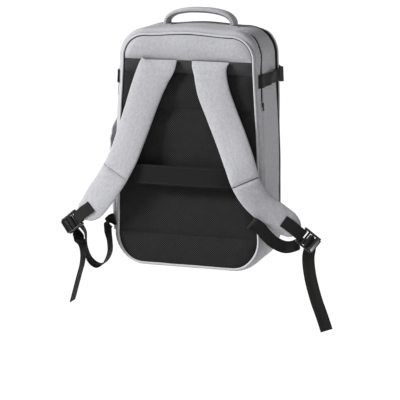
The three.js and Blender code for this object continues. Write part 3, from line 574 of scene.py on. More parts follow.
def stitches(name: str, path: Array, out: Array, pitch: float = 3.4 * MM,
             thread: float = 0.42 * MM) -> bpy.types.Object:
    """A row of stitches along a path: each a thread over three quarters of the pitch.

    Args:
        name: Name of the row.
        path: Points along the seam, on the cloth.
        out: Direction off the cloth at each point.
        pitch: Length from one stitch to the next.
        thread: Radius of the thread.

    Returns:
        The row.
    """
    both = np.concatenate([path, out], 1)
    walked = lengths(path, 0)
    count = max(2, int(walked[-1] / pitch))
    stops = (np.arange(count) + 0.5) * walked[-1] / count
    read = read_at(stops, walked, both)
    ahead = read_at(stops + pitch / 4, walked, path)
    behind = read_at(stops - pitch / 4, walked, path)
    along = unit(ahead - behind)
    normal = unit(read[:, 3:] - along * np.sum(along * read[:, 3:], -1, keepdims=True))
    axes = np.stack([along, np.cross(normal, along), normal], 1)
    return beads(name, read[:, :3] + normal * thread * 0.5, axes, (0.375 * pitch, thread, thread * 0.8))


def ripple(u: Array, v: Array, seed: int, wave: float, height: float) -> Array:
    """Gentle unevenness: a sum of six sine waves in seeded directions and phases."""
    rng = np.random.default_rng(seed)
    turns = rng.uniform(0, math.pi, 6)
    waves = wave * rng.uniform(0.7, 1.5, 6)
    phases = rng.uniform(0, 2 * math.pi, 6)
    total = np.zeros(np.broadcast(u, v).shape)
    for turn, length, phase in zip(turns, waves, phases):
        total = total + np.sin(2 * math.pi * (u * math.cos(turn) + v * math.sin(turn)) / length + phase)
    return total * height / math.sqrt(6)


def coordinates(piece: bpy.types.Object) -> Array:
    """Vertex places of a piece as an array."""
    places = np.empty(len(piece.data.vertices) * 3)
    piece.data.vertices.foreach_get("co", places)
    return places.reshape(-1, 3)


def inflate(piece: bpy.types.Object, sewn: Array, pressure: float, ease: float, cap: float) -> None:
    """Fills a padded piece by a cloth simulation and keeps what it gives, up to a cap.

    Args:
        piece: The piece, whose vertices move.
        sewn: Which vertices are held by seams.
        pressure: Pressure from inside.
        ease: Share by which the cloth is longer than its place.
        cap: Furthest that a point may move.
    """
    start = coordinates(piece)
    group = piece.vertex_groups.new(name="sewn")
    group.add(np.flatnonzero(sewn).tolist(), 1.0, "REPLACE")
    cloth = piece.modifiers.new("filling", "CLOTH")
    cloth.settings.quality = 3
    cloth.settings.mass = 0.15
    cloth.settings.use_pressure = True
    cloth.settings.uniform_pressure_force = pressure
    cloth.settings.shrink_min = -ease
    cloth.settings.bending_stiffness = 0.3
    cloth.settings.vertex_group_mass = group.name
    cloth.settings.effector_weights.gravity = 0.0
    cloth.collision_settings.use_collision = False
    cloth.point_cache.frame_end = SIMULATED_FRAMES
    for moment in range(1, SIMULATED_FRAMES + 1):
        bpy.context.scene.frame_set(moment)
    shaped = piece.evaluated_get(bpy.context.evaluated_depsgraph_get())
    end = coordinates(shaped)
    piece.modifiers.remove(cloth)
    piece.vertex_groups.remove(group)
    bpy.context.scene.frame_set(1)
    move = end - start
    size = np.linalg.norm(move, axis=-1, keepdims=True)
    move *= np.minimum(1.0, cap / np.maximum(size, 1e-9))
    piece.data.vertices.foreach_set("co", (start + move).ravel())
    piece.data.update()


def dress(piece: bpy.types.Object, finish: Finish, slot: Slot, *nodes: str,
          fill: Optional[float] = None) -> bpy.types.Object:
    """Gives a piece its finish and body, and hides the nodes that it stands for.

    Args:
        piece: The piece.
        finish: Its finish.
        slot: Its slot in the record; not used.
        nodes: Nodes that it stands for.
        fill: How tight its padding is, if it has any; not used.

    Returns:
        The piece.
    """
    piece.data.materials.clear()
    piece.data.materials.append(finish.material())
    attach(piece, "root")
    if nodes:
        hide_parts(*nodes)
    LOG.info("%s: %d faces", piece.name, len(piece.data.polygons))
    return piece


# The bag's form

@dataclass(frozen=True)
class Outline:
    """The body's widest outline: places and outward directions in X and Z, from the middle of
    the underside up the right side, over the top and down the left side."""

    at: Array
    out: Array

    def only(self, kept: Array) -> "Outline":
        """The stretch of the outline at these places, in order."""
        return Outline(self.at[kept], self.out[kept])

    def walked(self) -> Array:
        """Length walked along the outline to each place."""
        return lengths(self.at, 0)

    def raised(self, off: Array, y: Array) -> Array:
        """Points at distances outside the outline, at places y in depth."""
        x = self.at[:, :1] + self.out[:, :1] * off
        z = self.at[:, 1:] + self.out[:, 1:] * off
        return np.stack([x, y, z], -1)


@dataclass(frozen=True)
class BodyForm:
    """Outer form of the bag's body, given by the sizes that its pieces share."""

    height: float = 490 * MM
    depth: float = 165 * MM
    half_base: float = 164.5 * MM
    half_top: float = 146.5 * MM
    corner_base: float = 66 * MM
    corner_top: float = 58 * MM
    side_swell: float = 3.5 * MM
    top_swell: float = 5 * MM
    rear_round: float = 12 * MM
    rear_inset: float = 9 * MM
    rear_inset_below: float = 3.6 * MM
    front_round: float = 45 * MM
    front_crown: float = 5 * MM
    wall: float = 3 * MM
    piping: float = 2.3 * MM
    zip_width: float = 5 * MM
    zip_tilt: float = 3.4 * MM
    zip_depth: float = 2.2 * MM
    main_zip_back: float = 119 * MM
    main_zip_end: float = 62 * MM
    laptop_zip_end: float = 349 * MM
    strip_up: tuple[float, ...] = (0.0, 0.08, 0.2, 0.3, 0.71, 0.83, 0.933, 0.98, 1.0)
    strip_back: tuple[float, ...] = (0.2, 0.18, 0.075, 0.04, 0.04, 0.055, 0.11, 0.2, 0.225)

    @property
    def back_y(self) -> float:
        """Y of the back seam."""
        return -self.depth / 2

    @property
    def half(self) -> float:
        """Mean half width of the body."""
        return (self.half_base + self.half_top) / 2

    def _corner(self, z: float, radius: float, start: float, end: float) -> Array:
        """Places and directions along a corner: an arc from one direction to another."""
        lean = self.lean
        x = self.half_base - (radius + math.sin(lean) * z) / math.cos(lean)
        a = np.linspace(start, end, 80)
        return np.stack([x + radius * np.cos(a), z + radius * np.sin(a), np.cos(a), np.sin(a)], -1)

    @property
    def lean(self) -> float:
        """Angle by which the sides lean in."""
        return math.atan2(self.half_base - self.half_top, self.height)

    def outline(self, count: int) -> Outline:
        """The outline at equal lengths: flat base, arc, side swelling as a squared sine, arc,
        and a top swelling as a squared sine, mirrored.

        Args:
            count: Number of places.

        Returns:
            The closed outline, without its first place again at the end.
        """
        foot = self._corner(self.corner_base, self.corner_base, -math.pi / 2, self.lean)
        head = self._corner(self.height - self.corner_top, self.corner_top, self.lean, math.pi / 2)
        t = np.linspace(0, 1, 160)[:, None]
        base = np.concatenate([foot[:1, :2] * t, np.tile([0.0, -1.0], (160, 1))], 1)
        bulge = self.side_swell * np.sin(math.pi * t) ** 2
        side = foot[-1:, :2] * (1 - t) + head[:1, :2] * t + head[:1, 2:] * bulge
        side = np.concatenate([side, np.tile(head[:1, 2:], (160, 1))], 1)
        rise = self.top_swell * np.sin(math.pi * t / 2) ** 2
        top = np.concatenate([head[-1, 0] * (1 - t), head[-1, 1] + rise, 0 * t, 0 * t + 1], 1)
        right = np.concatenate([base[:-1], foot[:-1], side[:-1], head[:-1], top])
        left = right[1:-1][::-1] * np.array([-1, 1, -1, 1])
        even = resampled(np.concatenate([right, left]), count, closed=True)
        return Outline(even[:, :2], unit(even[:, 2:]))

    def seam_inset(self, nz: Array) -> Array:
        """How far the back seam lies inside the outline."""
        low = np.clip(-nz, 0, 1) ** 3
        return self.rear_inset + (self.rear_inset_below - self.rear_inset) * low

    def inset(self, back: Array, nz: Array) -> Array:
        """How far the skin lies inside the outline: quarter rounds at the rear and the front."""
        rear = np.clip(1 - back / self.rear_round, 0, 1)
        ahead = np.clip(self.front_round - (self.depth - back), 0, self.front_round)
        round_off = self.front_round - np.sqrt(self.front_round ** 2 - ahead ** 2)
        return self.seam_inset(nz) * (1 - np.sqrt(1 - rear ** 2)) + round_off

    def skin(self, line: Outline, back: Array, lift: Array) -> Array:
        """Points off the skin.

        Args:
            line: The outline.
            back: Distances from the back seam.
            lift: Distances off the skin.

        Returns:
            The points.
        """
        off = lift - self.inset(back, line.out[:, 1:])
        return line.raised(off, self.back_y + back + 0 * off)

    def strip_edge(self, z: Array) -> Array:
        """Distance from the back seam to the rear strip's front edge."""
        return self.depth * np.interp(z / self.height, self.strip_up, self.strip_back)

    def fullness(self, line: Outline) -> Array:
        """Share from 0 to 1 of the stuffing beside the main zip: full on the upper sides."""
        up = np.clip((line.at[:, 1:] / self.height - 0.58) / 0.2, 0, 1)
        aside = np.clip((np.abs(line.out[:, :1]) - 0.3) / 0.45, 0, 1)
        return (up * aside) ** 2 * (3 - 2 * up * aside)

    def closing(self, line: Outline) -> Array:
        """Share from 0 to 1 by which cloth closes over the laptop zip: full along the top."""
        share = np.clip((line.out[:, 1:] - 0.72) / 0.2, 0, 1)
        return share ** 2 * (3 - 2 * share)

    def side_skin(self, side: Side, z: Array, back: Array, lift: Array) -> Array:
        """Points off one side of the body: across its slope by the lift.

        Args:
            side: Which side.
            z: Heights.
            back: Distances from the back seam.
            lift: Distances off the side.

        Returns:
            The points.
        """
        line = self.outline(1600)
        right = line.only((line.at[:, 0] > 0) & (line.out[:, 1] < 0.999) & (line.out[:, 1] > -0.999))
        step = 0.01 * MM
        half = np.interp(z, right.at[:, 1], right.at[:, 0]) - self.inset(back, 0 * z)
        slope = (self.inset(back, 0 * z) - self.inset(back + step, 0 * z)) / step
        size = np.sqrt(1 + slope ** 2)
        return np.stack([side.value * (half + lift / size), self.back_y + back - slope * lift / size,
                         z + 0 * half], -1)

    def side_up(self, side: Side, z: Array, back: Array) -> Array:
        """Direction up one side, leaning as the side does."""
        reach = 12.5 * MM
        above = self.side_skin(side, z + reach, back, 0 * z)
        below = self.side_skin(side, z - reach, back, 0 * z)
        return unit(above - below)


@dataclass(frozen=True)
class Field:
    """A panel bounded by the body's outline, drawn in by an inset that follows its direction."""

    form: BodyForm
    inset: Array

    @property
    def border(self) -> Array:
        """Closed border of the panel in X and Z."""
        line = self.form.outline(1200)
        return line.at - line.out * np.broadcast_to(self.inset, len(line.at))[:, None]

    def half(self, z: Array) -> Array:
        """Half width of the panel at a height."""
        border = self.border
        right = border[(border[:, 0] > 0)]
        start = np.argmin(np.where(right[:, 0] < right[:, 0].max(), right[:, 1], 1))
        right = right[start:]
        order = np.argsort(right[:, 1], kind="stable")
        return np.interp(z, right[order, 1], right[order, 0])

    def grid(self, z: Array, columns: int, low: float, high: float, crown: float) -> tuple[Array, Array]:
        """A grid of the panel, its rows bowed up towards the middle of the top edge.

        Args:
            z: Heights of the rows.
            columns: Places in a row.
            low: Height where the bow starts.
            high: Height where it is full.
            crown: The full bow.

        Returns:
            X and Z of the grid.
        """
        u = np.linspace(-1, 1, columns)
        u = u + 0.06 * np.sin(math.pi * u)
        x = self.half(z)[:, None] * u
        share = ((z - low) / (high - low))[:, None]
        bow = crown * share * np.sin(math.pi / 2 * (1 - np.abs(u))) ** 2
        return x, z[:, None] + bow

    def edge_distance(self, x: Array, z: Array) -> Array:
        """Distance of each point of a grid from the border."""
        border = self.border
        flat = np.stack([x.ravel(), z.ravel()], -1)
        near = [np.linalg.norm(part[:, None] - border[None], axis=-1).min(1)
                for part in np.array_split(flat, 40)]
        return np.concatenate(near).reshape(x.shape)


def shoulder(distance: Array, width: float) -> Array:
    """Rise of padding from a seam: one less a falling exponential of the distance."""
    return 1 - np.exp(-(np.maximum(distance, 0) / width) ** 1.3)


def eased(count: int, share: float) -> Array:
    """Shares from 0 to 1, closer together at both ends by a share of a sine."""
    s = np.linspace(0, 1, count)
    return s - share * np.sin(2 * math.pi * s) / (2 * math.pi)


@dataclass
class Shell:
    """Gussets and front of the bag: three millimetre cloth walls, sewn along the zips."""

    form: BodyForm
    around: int = 560
    groove: float = 1.1 * MM
    soft: float = 1.6 * MM
    pucker: float = 7 * MM
    lip: float = 0.5 * MM
    seam_turn: float = math.radians(66)

    def relief(self, u: Array, v: Array, near: Array, far: Array, seed: int,
               loose: tuple[float, float]) -> Array:
        """Heights of sewn cloth: drawn down at its two seams, with puckers there that fade off
        them, and gentle unevenness between.

        Args:
            u: Lengths along the seams.
            v: Places across.
            near: Distances from one seam.
            far: Distances from the other.
            seed: Seed of the unevenness.
            loose: Wave length and height of the unevenness between the seams.

        Returns:
            The heights.
        """
        seam = np.exp(-near / self.soft) + np.exp(-far / self.soft)
        fade = np.exp(-near / self.pucker) + np.exp(-far / self.pucker)
        slack = shoulder(np.minimum(near, far), 12 * MM)
        return (-self.groove * seam + ripple(u, v, seed, 9 * MM, 0.35 * MM) * fade
                + ripple(u, v, seed + 1, *loose) * slack)

    def strip(self, name: str, low: Array, high: Array, seed: int, lips: float) -> bpy.types.Object:
        """A closed strip of cloth round the body.

        Args:
            name: Name of the piece.
            low: Distances of its rear edge from the back seam.
            high: Distances of its front edge.
            seed: Seed of its unevenness.
            lips: How much thinner its edges are.

        Returns:
            The strip.
        """
        line = self.form.outline(self.around)
        back = low[:, None] + (high - low)[:, None] * eased(26, 0.85)
        near, far = back - low[:, None], high[:, None] - back
        u = line.walked()[:, None]
        lift = self.relief(u, back, near, far, seed, (90 * MM, 0.7 * MM))
        thick = self.form.wall - lips * np.exp(-np.minimum(near, far) / 1.5 / MM)
        outer = self.form.skin(line, back, lift)
        inner = self.form.skin(line, back, np.minimum(lift - 0.8 * MM, -thick))
        return surface(name, np.concatenate([outer, inner[:, ::-1]], 1), True, True)

    def edges(self) -> dict[str, Array]:
        """Distances from the back seam of the strips' edges, round the outline."""
        form = self.form
        line = form.outline(self.around)
        z = line.at[:, 1]
        strip = form.strip_edge(z)
        laptop = np.clip((z - form.laptop_zip_end) / 4 / MM + 1, 0, 1)
        laptop = laptop * (1 - form.closing(line)[:, 0])
        main = np.clip((z - form.main_zip_end) / 4 / MM + 1, 0, 1)
        opening = GAP + laptop * (form.zip_width - self.lip * 0.5)
        half_zip = GAP / 2 + main * (form.zip_width / 2 - self.lip * 0.4)
        return {"strip": strip, "gusset_low": strip + opening,
                "gusset_high": form.main_zip_back - half_zip, "front": form.main_zip_back + half_zip}

    def rear_gusset(self) -> bpy.types.Object:
        """The narrow strip between the piping and the laptop zip."""
        edges = self.edges()
        piece = self.strip("rear_gusset_cloth", 0 * edges["strip"], edges["strip"], 11, 1.2 * MM)
        return dress(piece, Finish.CLOTH, Slot.CLOTH, "rear_gusset")

    def main_gusset(self) -> bpy.types.Object:
        """The wide gusset between the two zips."""
        edges = self.edges()
        piece = self.strip("main_gusset_cloth", edges["gusset_low"], edges["gusset_high"], 23, 1.6 * MM)
        return dress(piece, Finish.CLOTH, Slot.CLOTH, "main_gusset")

    def wrapped(self, line: Outline, start: Array, run: Array, lift: Array) -> Array:
        """Points on the front's side wall: straight to the front, then round a quarter arc.

        Args:
            line: The body's outline.
            start: Where the wall starts, from the back seam.
            run: Lengths walked along the wall.
            lift: Distances off it.

        Returns:
            The points.
        """
        form = self.form
        flat = form.depth - form.front_round - start
        back = start + np.minimum(run, flat)
        turn = np.maximum(run - flat, 0) / form.front_round
        reach = form.front_round + lift
        off = reach * np.cos(turn) - form.front_round
        return line.raised(off, form.back_y + back + reach * np.sin(turn))

    def front_wall(self) -> bpy.types.Object:
        """The front's side wall, rounded over to the seam of its face."""
        form = self.form
        line = form.outline(self.around)
        start = self.edges()["front"][:, None]
        total = form.depth - form.front_round - start + form.front_round * self.seam_turn
        s = eased(34, 0.8)
        run = total * s
        far = total - run
        u = line.walked()[:, None]
        bulge = np.cos(math.pi / 2 * s) + 0.6 * np.sin(math.pi * s)
        lift = self.relief(u, run, run, far, 31, (80 * MM, 0.8 * MM))
        lift = lift + form.zip_tilt * form.fullness(line) * bulge
        outer = self.wrapped(line, start, run, lift)
        inner = self.wrapped(line, start, run, lift * 0 - form.wall)
        piece = surface("front_wall_cloth", np.concatenate([outer, inner[:, ::-1]], 1), True, True)
        return dress(piece, Finish.CLOTH, Slot.CLOTH, "front_panel")

    def front_face(self) -> bpy.types.Object:
        """The front's padded face: it rises from its seam on the arc of the rounded edge, then
        crowns gently to the middle."""
        form = self.form
        drawn_in = form.front_round * (1 - math.cos(self.seam_turn))
        field = Field(form, np.array(drawn_in + GAP))
        low, high = drawn_in + GAP, form.height - drawn_in - GAP
        rows = low + (high - low) * eased(190, 0.7)
        x, z = field.grid(rows, 130, low, high, form.top_swell)
        inside = field.edge_distance(x, z) + drawn_in
        ahead = np.maximum(form.front_round - inside, 0)
        arc = np.sqrt(form.front_round ** 2 - ahead ** 2)
        crown = form.front_crown * shoulder(inside - form.front_round, 50 * MM)
        near = np.maximum(inside - drawn_in, 0)
        soft = ripple(x, z, 41, 110 * MM, 1.0 * MM) * shoulder(near, 20 * MM)
        pucker = ripple(x, z, 42, 10 * MM, 0.3 * MM) * np.exp(-near / 8 / MM)
        seam = self.groove * np.exp(-near / self.soft)
        y = form.depth / 2 - form.front_round + arc + crown + soft + pucker - seam
        outer = np.stack([x, y, z], -1)
        inner = np.stack([x * 0.998, y - 2.4 * MM, z], -1)
        return dress(sheet("front_face_cloth", outer, inner), Finish.CLOTH, Slot.CLOTH)

    def seam_rows(self) -> None:
        """Topstitching beside the seams of the gussets and of the front's face."""
        form = self.form
        line = form.outline(900)
        edges = {key: np.interp(line.walked(), form.outline(self.around).walked(), value)[:, None]
                 for key, value in self.edges().items()}
        rows = {"stitch_gusset_rear": edges["gusset_low"] + 3 * MM,
                "stitch_gusset_main": edges["gusset_high"] - 3 * MM,
                "stitch_front_wall": edges["front"] + 3 * MM}
        for name, back in rows.items():
            path = form.skin(line, back, np.array(0.05 * MM))[:, 0]
            out = unit(form.skin(line, back, np.array(MM))[:, 0] - path)
            dress(stitches(name, path, out), Finish.THREAD_GREY, Slot.CLOTH)

    def build(self) -> None:
        """Builds the shell's pieces."""
        self.rear_gusset()
        self.main_gusset()
        self.front_wall()
        self.front_face()
        self.seam_rows()


@dataclass
class Zips:
    """Two coil zips in gaps of the gusset, each with one slider."""

    form: BodyForm
    sunk: float = 0.1 * MM
    thick: float = 1.2 * MM
    tooth_pitch: float = 1.35 * MM
    coil_root: float = 0.3 * MM
    coil_lift: float = 0.35 * MM
    coil_apart: float = 0.85 * MM

    def run(self, above: float, count: int) -> Outline:
        """The stretch of the outline above a height, over the top from right to left."""
        line = self.form.outline(count)
        return line.only(line.at[:, 1] > above)

    def rise(self, line: Outline, across: Array, node: str) -> Array:
        """A zip's rise off the skin: the main one tilts out, the other sinks along the top."""
        form = self.form
        if node == "main_zip":
            return form.zip_tilt * form.fullness(line) * (0.5 + across / form.zip_width)
        return -form.zip_depth * form.closing(line) + 0 * across

    def zip(self, name: str, above: float, middle: Callable[[Array], Array]) -> None:
        """Tape and two rows of coil along the outline.

        Args:
            name: Name of the zip and of the node that it stands for.
            above: Height at which it ends on both sides.
            middle: Function from heights to distances of its middle from the back seam.
        """
        form = self.form
        line = self.run(above, 700)
        centre = middle(line.at[:, 1])[:, None]
        half = form.zip_width / 2 - 0.1 * MM
        across = np.array([-half, -0.3 * MM, 0.3 * MM, half, half, -half])
        below = np.array([0, 0, 0, 0, self.thick, self.thick])
        lift = self.rise(line, across, name) - self.sunk - below
        points = form.skin(line, centre + across, lift + 0 * centre)
        tape = surface(name + "_tape", points, False, True, Ends.CAPS)
        dress(tape, Finish.TAPE, Slot.ZIP, name)
        path = form.skin(line, centre, np.array(self.coil_root))[:, 0]
        count = int(lengths(path, 0)[-1] / self.tooth_pitch)
        dense = self.run(above, 4 * count)
        middles = middle(dense.at[:, 1])[:, None]
        walked = lengths(form.skin(dense, middles, np.array(0.0))[:, 0], 0)
        stops = np.linspace(walked[0], walked[-1], count)
        for side, shift, offset in (("near", -self.coil_apart, 0.0), ("far", self.coil_apart, 0.5)):
            lift = self.rise(dense, np.array([shift]), name) + self.coil_lift
            row = form.skin(dense, middles + shift, lift)[:, 0]
            above_row = form.skin(dense, middles + shift, lift + MM)[:, 0]
            places = stops + offset * self.tooth_pitch
            at = read_at(places, walked, row)
            out = unit(read_at(places, walked, above_row - row))
            forward = np.tile([0.0, 1.0, 0.0], (len(at), 1))
            forward = unit(forward - out * np.sum(forward * out, -1, keepdims=True))
            axes = np.stack([forward, np.cross(out, forward), out], 1)
            coil = beads(f"{name}_coil_{side}", at, axes, (1.05 * MM, 0.5 * MM, 0.5 * MM))
            dress(coil, Finish.COIL, Slot.ZIP)

    def build(self) -> None:
        """Builds both zips."""
        form = self.form
        seat = GAP / 2 + form.zip_width / 2
        self.zip("laptop_zip", form.laptop_zip_end, lambda z: form.strip_edge(z) + seat)
        self.zip("main_zip", form.main_zip_end, lambda z: form.main_zip_back + 0 * z)


@dataclass
class BackPanel:
    """Padded mesh back, cloth yoke, piping and the band sewn across the mesh."""

    form: BodyForm
    pad: float = 8 * MM
    yoke_pad: float = 9 * MM
    edge: float = 2.5 * MM
    core: float = 4 * MM
    yoke_seam: float = 428.7 * MM
    fold: float = 403 * MM
    channels: tuple[float, ...] = (72 * MM, 171 * MM, 329 * MM)
    # Radii of the near-black cords of painted shade in the lowest channel and in the others.
    low_line: float = 1.2 * MM
    high_line: float = 0.5 * MM
    # Radius of the near-black cord that paints the shade inside the piping.
    seam_cord: float = 1.2 * MM
    trolley_height: float = 198 * MM
    trolley_width: float = 40 * MM
    trolley_thick: float = 3 * MM
    trolley_lift: float = 18 * MM
    trolley_sag: float = 0.8 * MM

    @property
    def field(self) -> Field:
        """The panel's bounds, just inside the piping."""
        line = self.form.outline(1200)
        inset = self.form.seam_inset(line.out[:, 1]) + 2 * self.form.piping + 2 * GAP
        return Field(self.form, inset)

    def padded(self, name: str, low: float, high: float, pad: float, crown: float,
               seams: Sequence[float], rows: int) -> bpy.types.Object:
        """A padded panel: its height off the back is that of a seam, plus the shoulder of the
        distance to the border times that to each seam, then filled by a cloth simulation.

        Args:
            name: Name of the piece.
            low: Height of its lower edge.
            high: Height of its upper edge.
            pad: Full thickness off the back.
            crown: Bow of its upper edge.
            seams: Heights of the seams that hold it.
            rows: Rows of its grid.

        Returns:
            The panel.
        """
        field = self.field
        z_rows = low + (high - low) * eased(rows, 0.7)
        x, z = field.grid(z_rows, 120, low, high, crown)
        border = field.edge_distance(x, z)
        rise = shoulder(border, 7 * MM)
        gap = border
        for seam in seams:
            rise = rise * shoulder(np.abs(z - seam), 6 * MM)
            gap = np.minimum(gap, np.abs(z - seam))
        off = self.edge + (pad - self.edge) * (0.75 * rise) + ripple(x, z, 7, 60 * MM, 0.3 * MM) * rise
        outer = np.stack([x, self.form.back_y - off, z], -1)
        inner = np.stack([x * 0.998, self.form.back_y + self.core + 0 * x, z], -1)
        piece = sheet(name, outer, inner)
        held = np.concatenate([gap < 2.2 * MM, np.ones_like(gap, dtype=bool)[:, ::-1]], 1)
        inflate(piece, held.ravel(), 4.0, 0.0, 1.2 * MM)
        return piece

    def mesh_panel(self) -> bpy.types.Object:
        """The dark mesh panel with its quilted seams."""
        low = self.form.rear_inset_below + 2 * self.form.piping + 2 * GAP
        high = self.yoke_seam - GAP
        seams = (*self.channels, self.fold, high)
        piece = self.padded("back_panel_mesh", low, high, self.pad, 0.0, seams, 190)
        for z in (*self.channels, self.fold):
            self.channel_seam(z)
        return dress(piece, Finish.MESH, Slot.MESH, "back_panel", fill=0.6)

    def channel_seam(self, z: float) -> None:
        """A quilted seam: a row of dark stitches down in its channel, and in each channel but the fold a
        near-black cord of painted shade along the groove.
        """
        half = float(self.field.half(np.array([z]))[0]) - 5 * MM
        x = np.linspace(-half, half, 200)
        path = np.stack([x, 0 * x + self.form.back_y - self.edge - 0.4 * MM, 0 * x + z], -1)
        out = np.tile([0.0, -1.0, 0.0], (200, 1))
        # Painted shade: a near-black cord along the channel's groove.
        if z in self.channels:
            radius = self.low_line if z == self.channels[0] else self.high_line
            line = tube(f"quilt_line_{round(z / MM)}", path, Y_AXIS, Z_AXIS, radius)
            dress(line, Finish.SEAM, Slot.MESH)
        row = stitches(f"quilt_stitch_{round(z / MM)}", path, out, 3.2 * MM, 0.45 * MM)
        dress(row, Finish.THREAD_BLACK, Slot.MESH)

    def yoke(self) -> bpy.types.Object:
        """The cloth yoke over the shoulder straps' roots."""
        form = self.form
        high = form.height - form.rear_inset - 2 * form.piping - 2 * GAP - 1.5 * MM
        piece = self.padded("back_yoke_cloth", self.yoke_seam, high, self.yoke_pad, form.top_swell,
                            (self.yoke_seam,), 46)
        return dress(piece, Finish.CLOTH, Slot.CLOTH, "back_yoke", fill=0.6)

    def piping(self) -> None:
        """Round piping along the back seam, with a near-black cord inside it that paints the shade in the
        gap between piping and panel.
        """
        form = self.form
        line = form.outline(620)
        out = np.stack([line.out[:, 0], 0 * line.at[:, 0], line.out[:, 1]], -1)
        wobble = ripple(line.walked(), 0 * line.walked(), 5, 50 * MM, 0.25 * MM)
        seat = form.piping + GAP
        cords = (("rear_piping_cord", form.piping, seat, seat),
                 # The second cord is painted shade in the gap inside the piping.
                 ("rear_piping_shade_line", self.seam_cord, 2 * form.piping + 0.5 * MM, 2.6 * MM))
        pieces = []
        for name, radius, inside, behind in cords:
            middle = form.skin(line, np.array([[0.0]]), np.array(-inside))[:, 0]
            centre = middle - behind * Y_AXIS + out * wobble[:, None]
            pieces.append(tube(name, centre, out, Y_AXIS, radius, 14, closed=True))
        dress(pieces[0], Finish.HEM, Slot.PIPING, "rear_piping")
        dress(pieces[1], Finish.SEAM, Slot.WEBBING)

    def trolley_band(self) -> None:
        """The band across the panel, sewn down at both ends and standing off between them."""
        shares = np.array([(-0.985, 0), (-0.93, 0.06), (-0.85, 0.35), (-0.75, 0.78), (-0.64, 1.0),
                           (-0.3, 1.02), (0.1, 1.02), (0.43, 1.0), (0.58, 0.85), (0.76, 0.45),
                           (0.93, 0.06), (0.985, 0)])
        u, lift = catmull(shares, 10).T
        half = float(self.field.half(np.array([self.trolley_height]))[0])
        pad = self.edge + (self.pad - self.edge) * (1 - np.abs(u) ** 8)
        off = pad + 0.5 * MM + self.trolley_thick / 2 + self.trolley_lift * lift
        at = np.stack([u * half, self.form.back_y - off, 0 * u + self.trolley_height], -1)
        at[:, 2] -= self.trolley_sag * np.sin(math.pi * (u + 1) / 2)
        route = Route(at, np.tile([0.0, 0.0, 1.0], (len(at), 1)),
                      np.full(len(at), self.trolley_width), np.full(len(at), self.trolley_thick))
        piece = route.band("trolley_band_cloth", hemmed_profile(5 * MM / self.trolley_width, 0.72))
        dress(piece, Finish.BAND, Slot.MESH, "trolley_strap")
        flip = -1.0 if route.axes()[2][len(route.at) // 2, 1] > 0 else 1.0
        for name, share in (("trolley_stitch_upper", 0.86), ("trolley_stitch_lower", -0.86)):
            path, out = route.line(share, flip)
            dress(stitches(name, path, out * flip, thread=0.3 * MM), Finish.THREAD_BLACK, Slot.MESH)

    def build(self) -> None:
        """Builds the back's pieces."""
        self.mesh_panel()
        self.yoke()
        self.piping()
        self.trolley_band()


# Bands along routes

def catmull(points: Array, steps: int) -> Array:
    """Centripetal Catmull-Rom curve through points, a number of steps for each span."""
    ends = (2 * points[:1] - points[1:2], 2 * points[-1:] - points[-2:-1])
    p = np.concatenate([ends[0], points, ends[1]])
    knots = np.concatenate([[0.0], np.cumsum(np.linalg.norm(np.diff(p, axis=0), axis=1) ** 0.5)])
    t = np.linspace(0, 1, steps, endpoint=False)
    out = []
    for i in range(1, len(p) - 2):
        k = knots[i - 1:i + 3]
        x = (k[1] + (k[2] - k[1]) * t)[:, None]
        a = [((k[j + 1] - x) * p[i - 1 + j] + (x - k[j]) * p[i + j]) / (k[j + 1] - k[j]) for j in range(3)]
        b = [((k[j + 2] - x) * a[j] + (x - k[j]) * a[j + 1]) / (k[j + 2] - k[j]) for j in range(2)]
        out.append(((k[2] - x) * b[0] + (x - k[1]) * b[1]) / (k[2] - k[1]))
    return np.concatenate([*out, points[-1:]])


def mirrored(half: Any) -> Array:
    """A closed outline from its half on one side of the axis, mirrored back along the other."""
    near = np.array(half)
    return np.concatenate([near, near[::-1] * np.array([1, -1])])


def hemmed_profile(hem: float, thin: float) -> Array:
    """Section of a flat band, closed: full thickness in its hems and a share of it between."""
    u = np.array([-1, -0.985, -1 + hem, -1 + 2 * hem, -0.4, 0, 0.4, 1 - 2 * hem, 1 - hem, 0.985, 1])
    v = np.array([0.3, 0.9, 1.0, thin, thin, thin, thin, thin, 1.0, 0.9, 0.3])
    return mirrored(np.stack([u, v], -1))


def webbing_profile() -> Array:
    """Section of flat webbing, closed: faces with a faint roll and rounded selvedges."""
    u = np.concatenate([[-1, -0.985, -0.95], np.linspace(-0.85, 0.85, 9), [0.95, 0.985, 1]])
    rolled = 0.96 + 0.04 * np.cos(u * math.pi * 6)
    v = np.where(np.abs(u) > 0.999, 0.25, np.where(np.abs(u) > 0.98, 0.75, rolled))
    return mirrored(np.stack([u, v], -1))


def padded_profile(columns: int, rim: float) -> Array:
    """Section of a padded strap, closed: faces that crown from a bound rim."""
    u = -np.cos(np.linspace(0, math.pi, columns))
    v = rim + (1 - rim) * (1 - np.abs(u) ** 5) ** 0.8
    v = np.where(np.abs(u) > 0.999, 0.1, v)
    return mirrored(np.stack([u, v], -1))


def dome(u: Array) -> Array:
    """Height of a padded face across it, from -1 to 1: a rim, and a crown by powers."""
    return 0.34 + 0.6 * (1 - np.abs(u) ** 4) ** 0.8


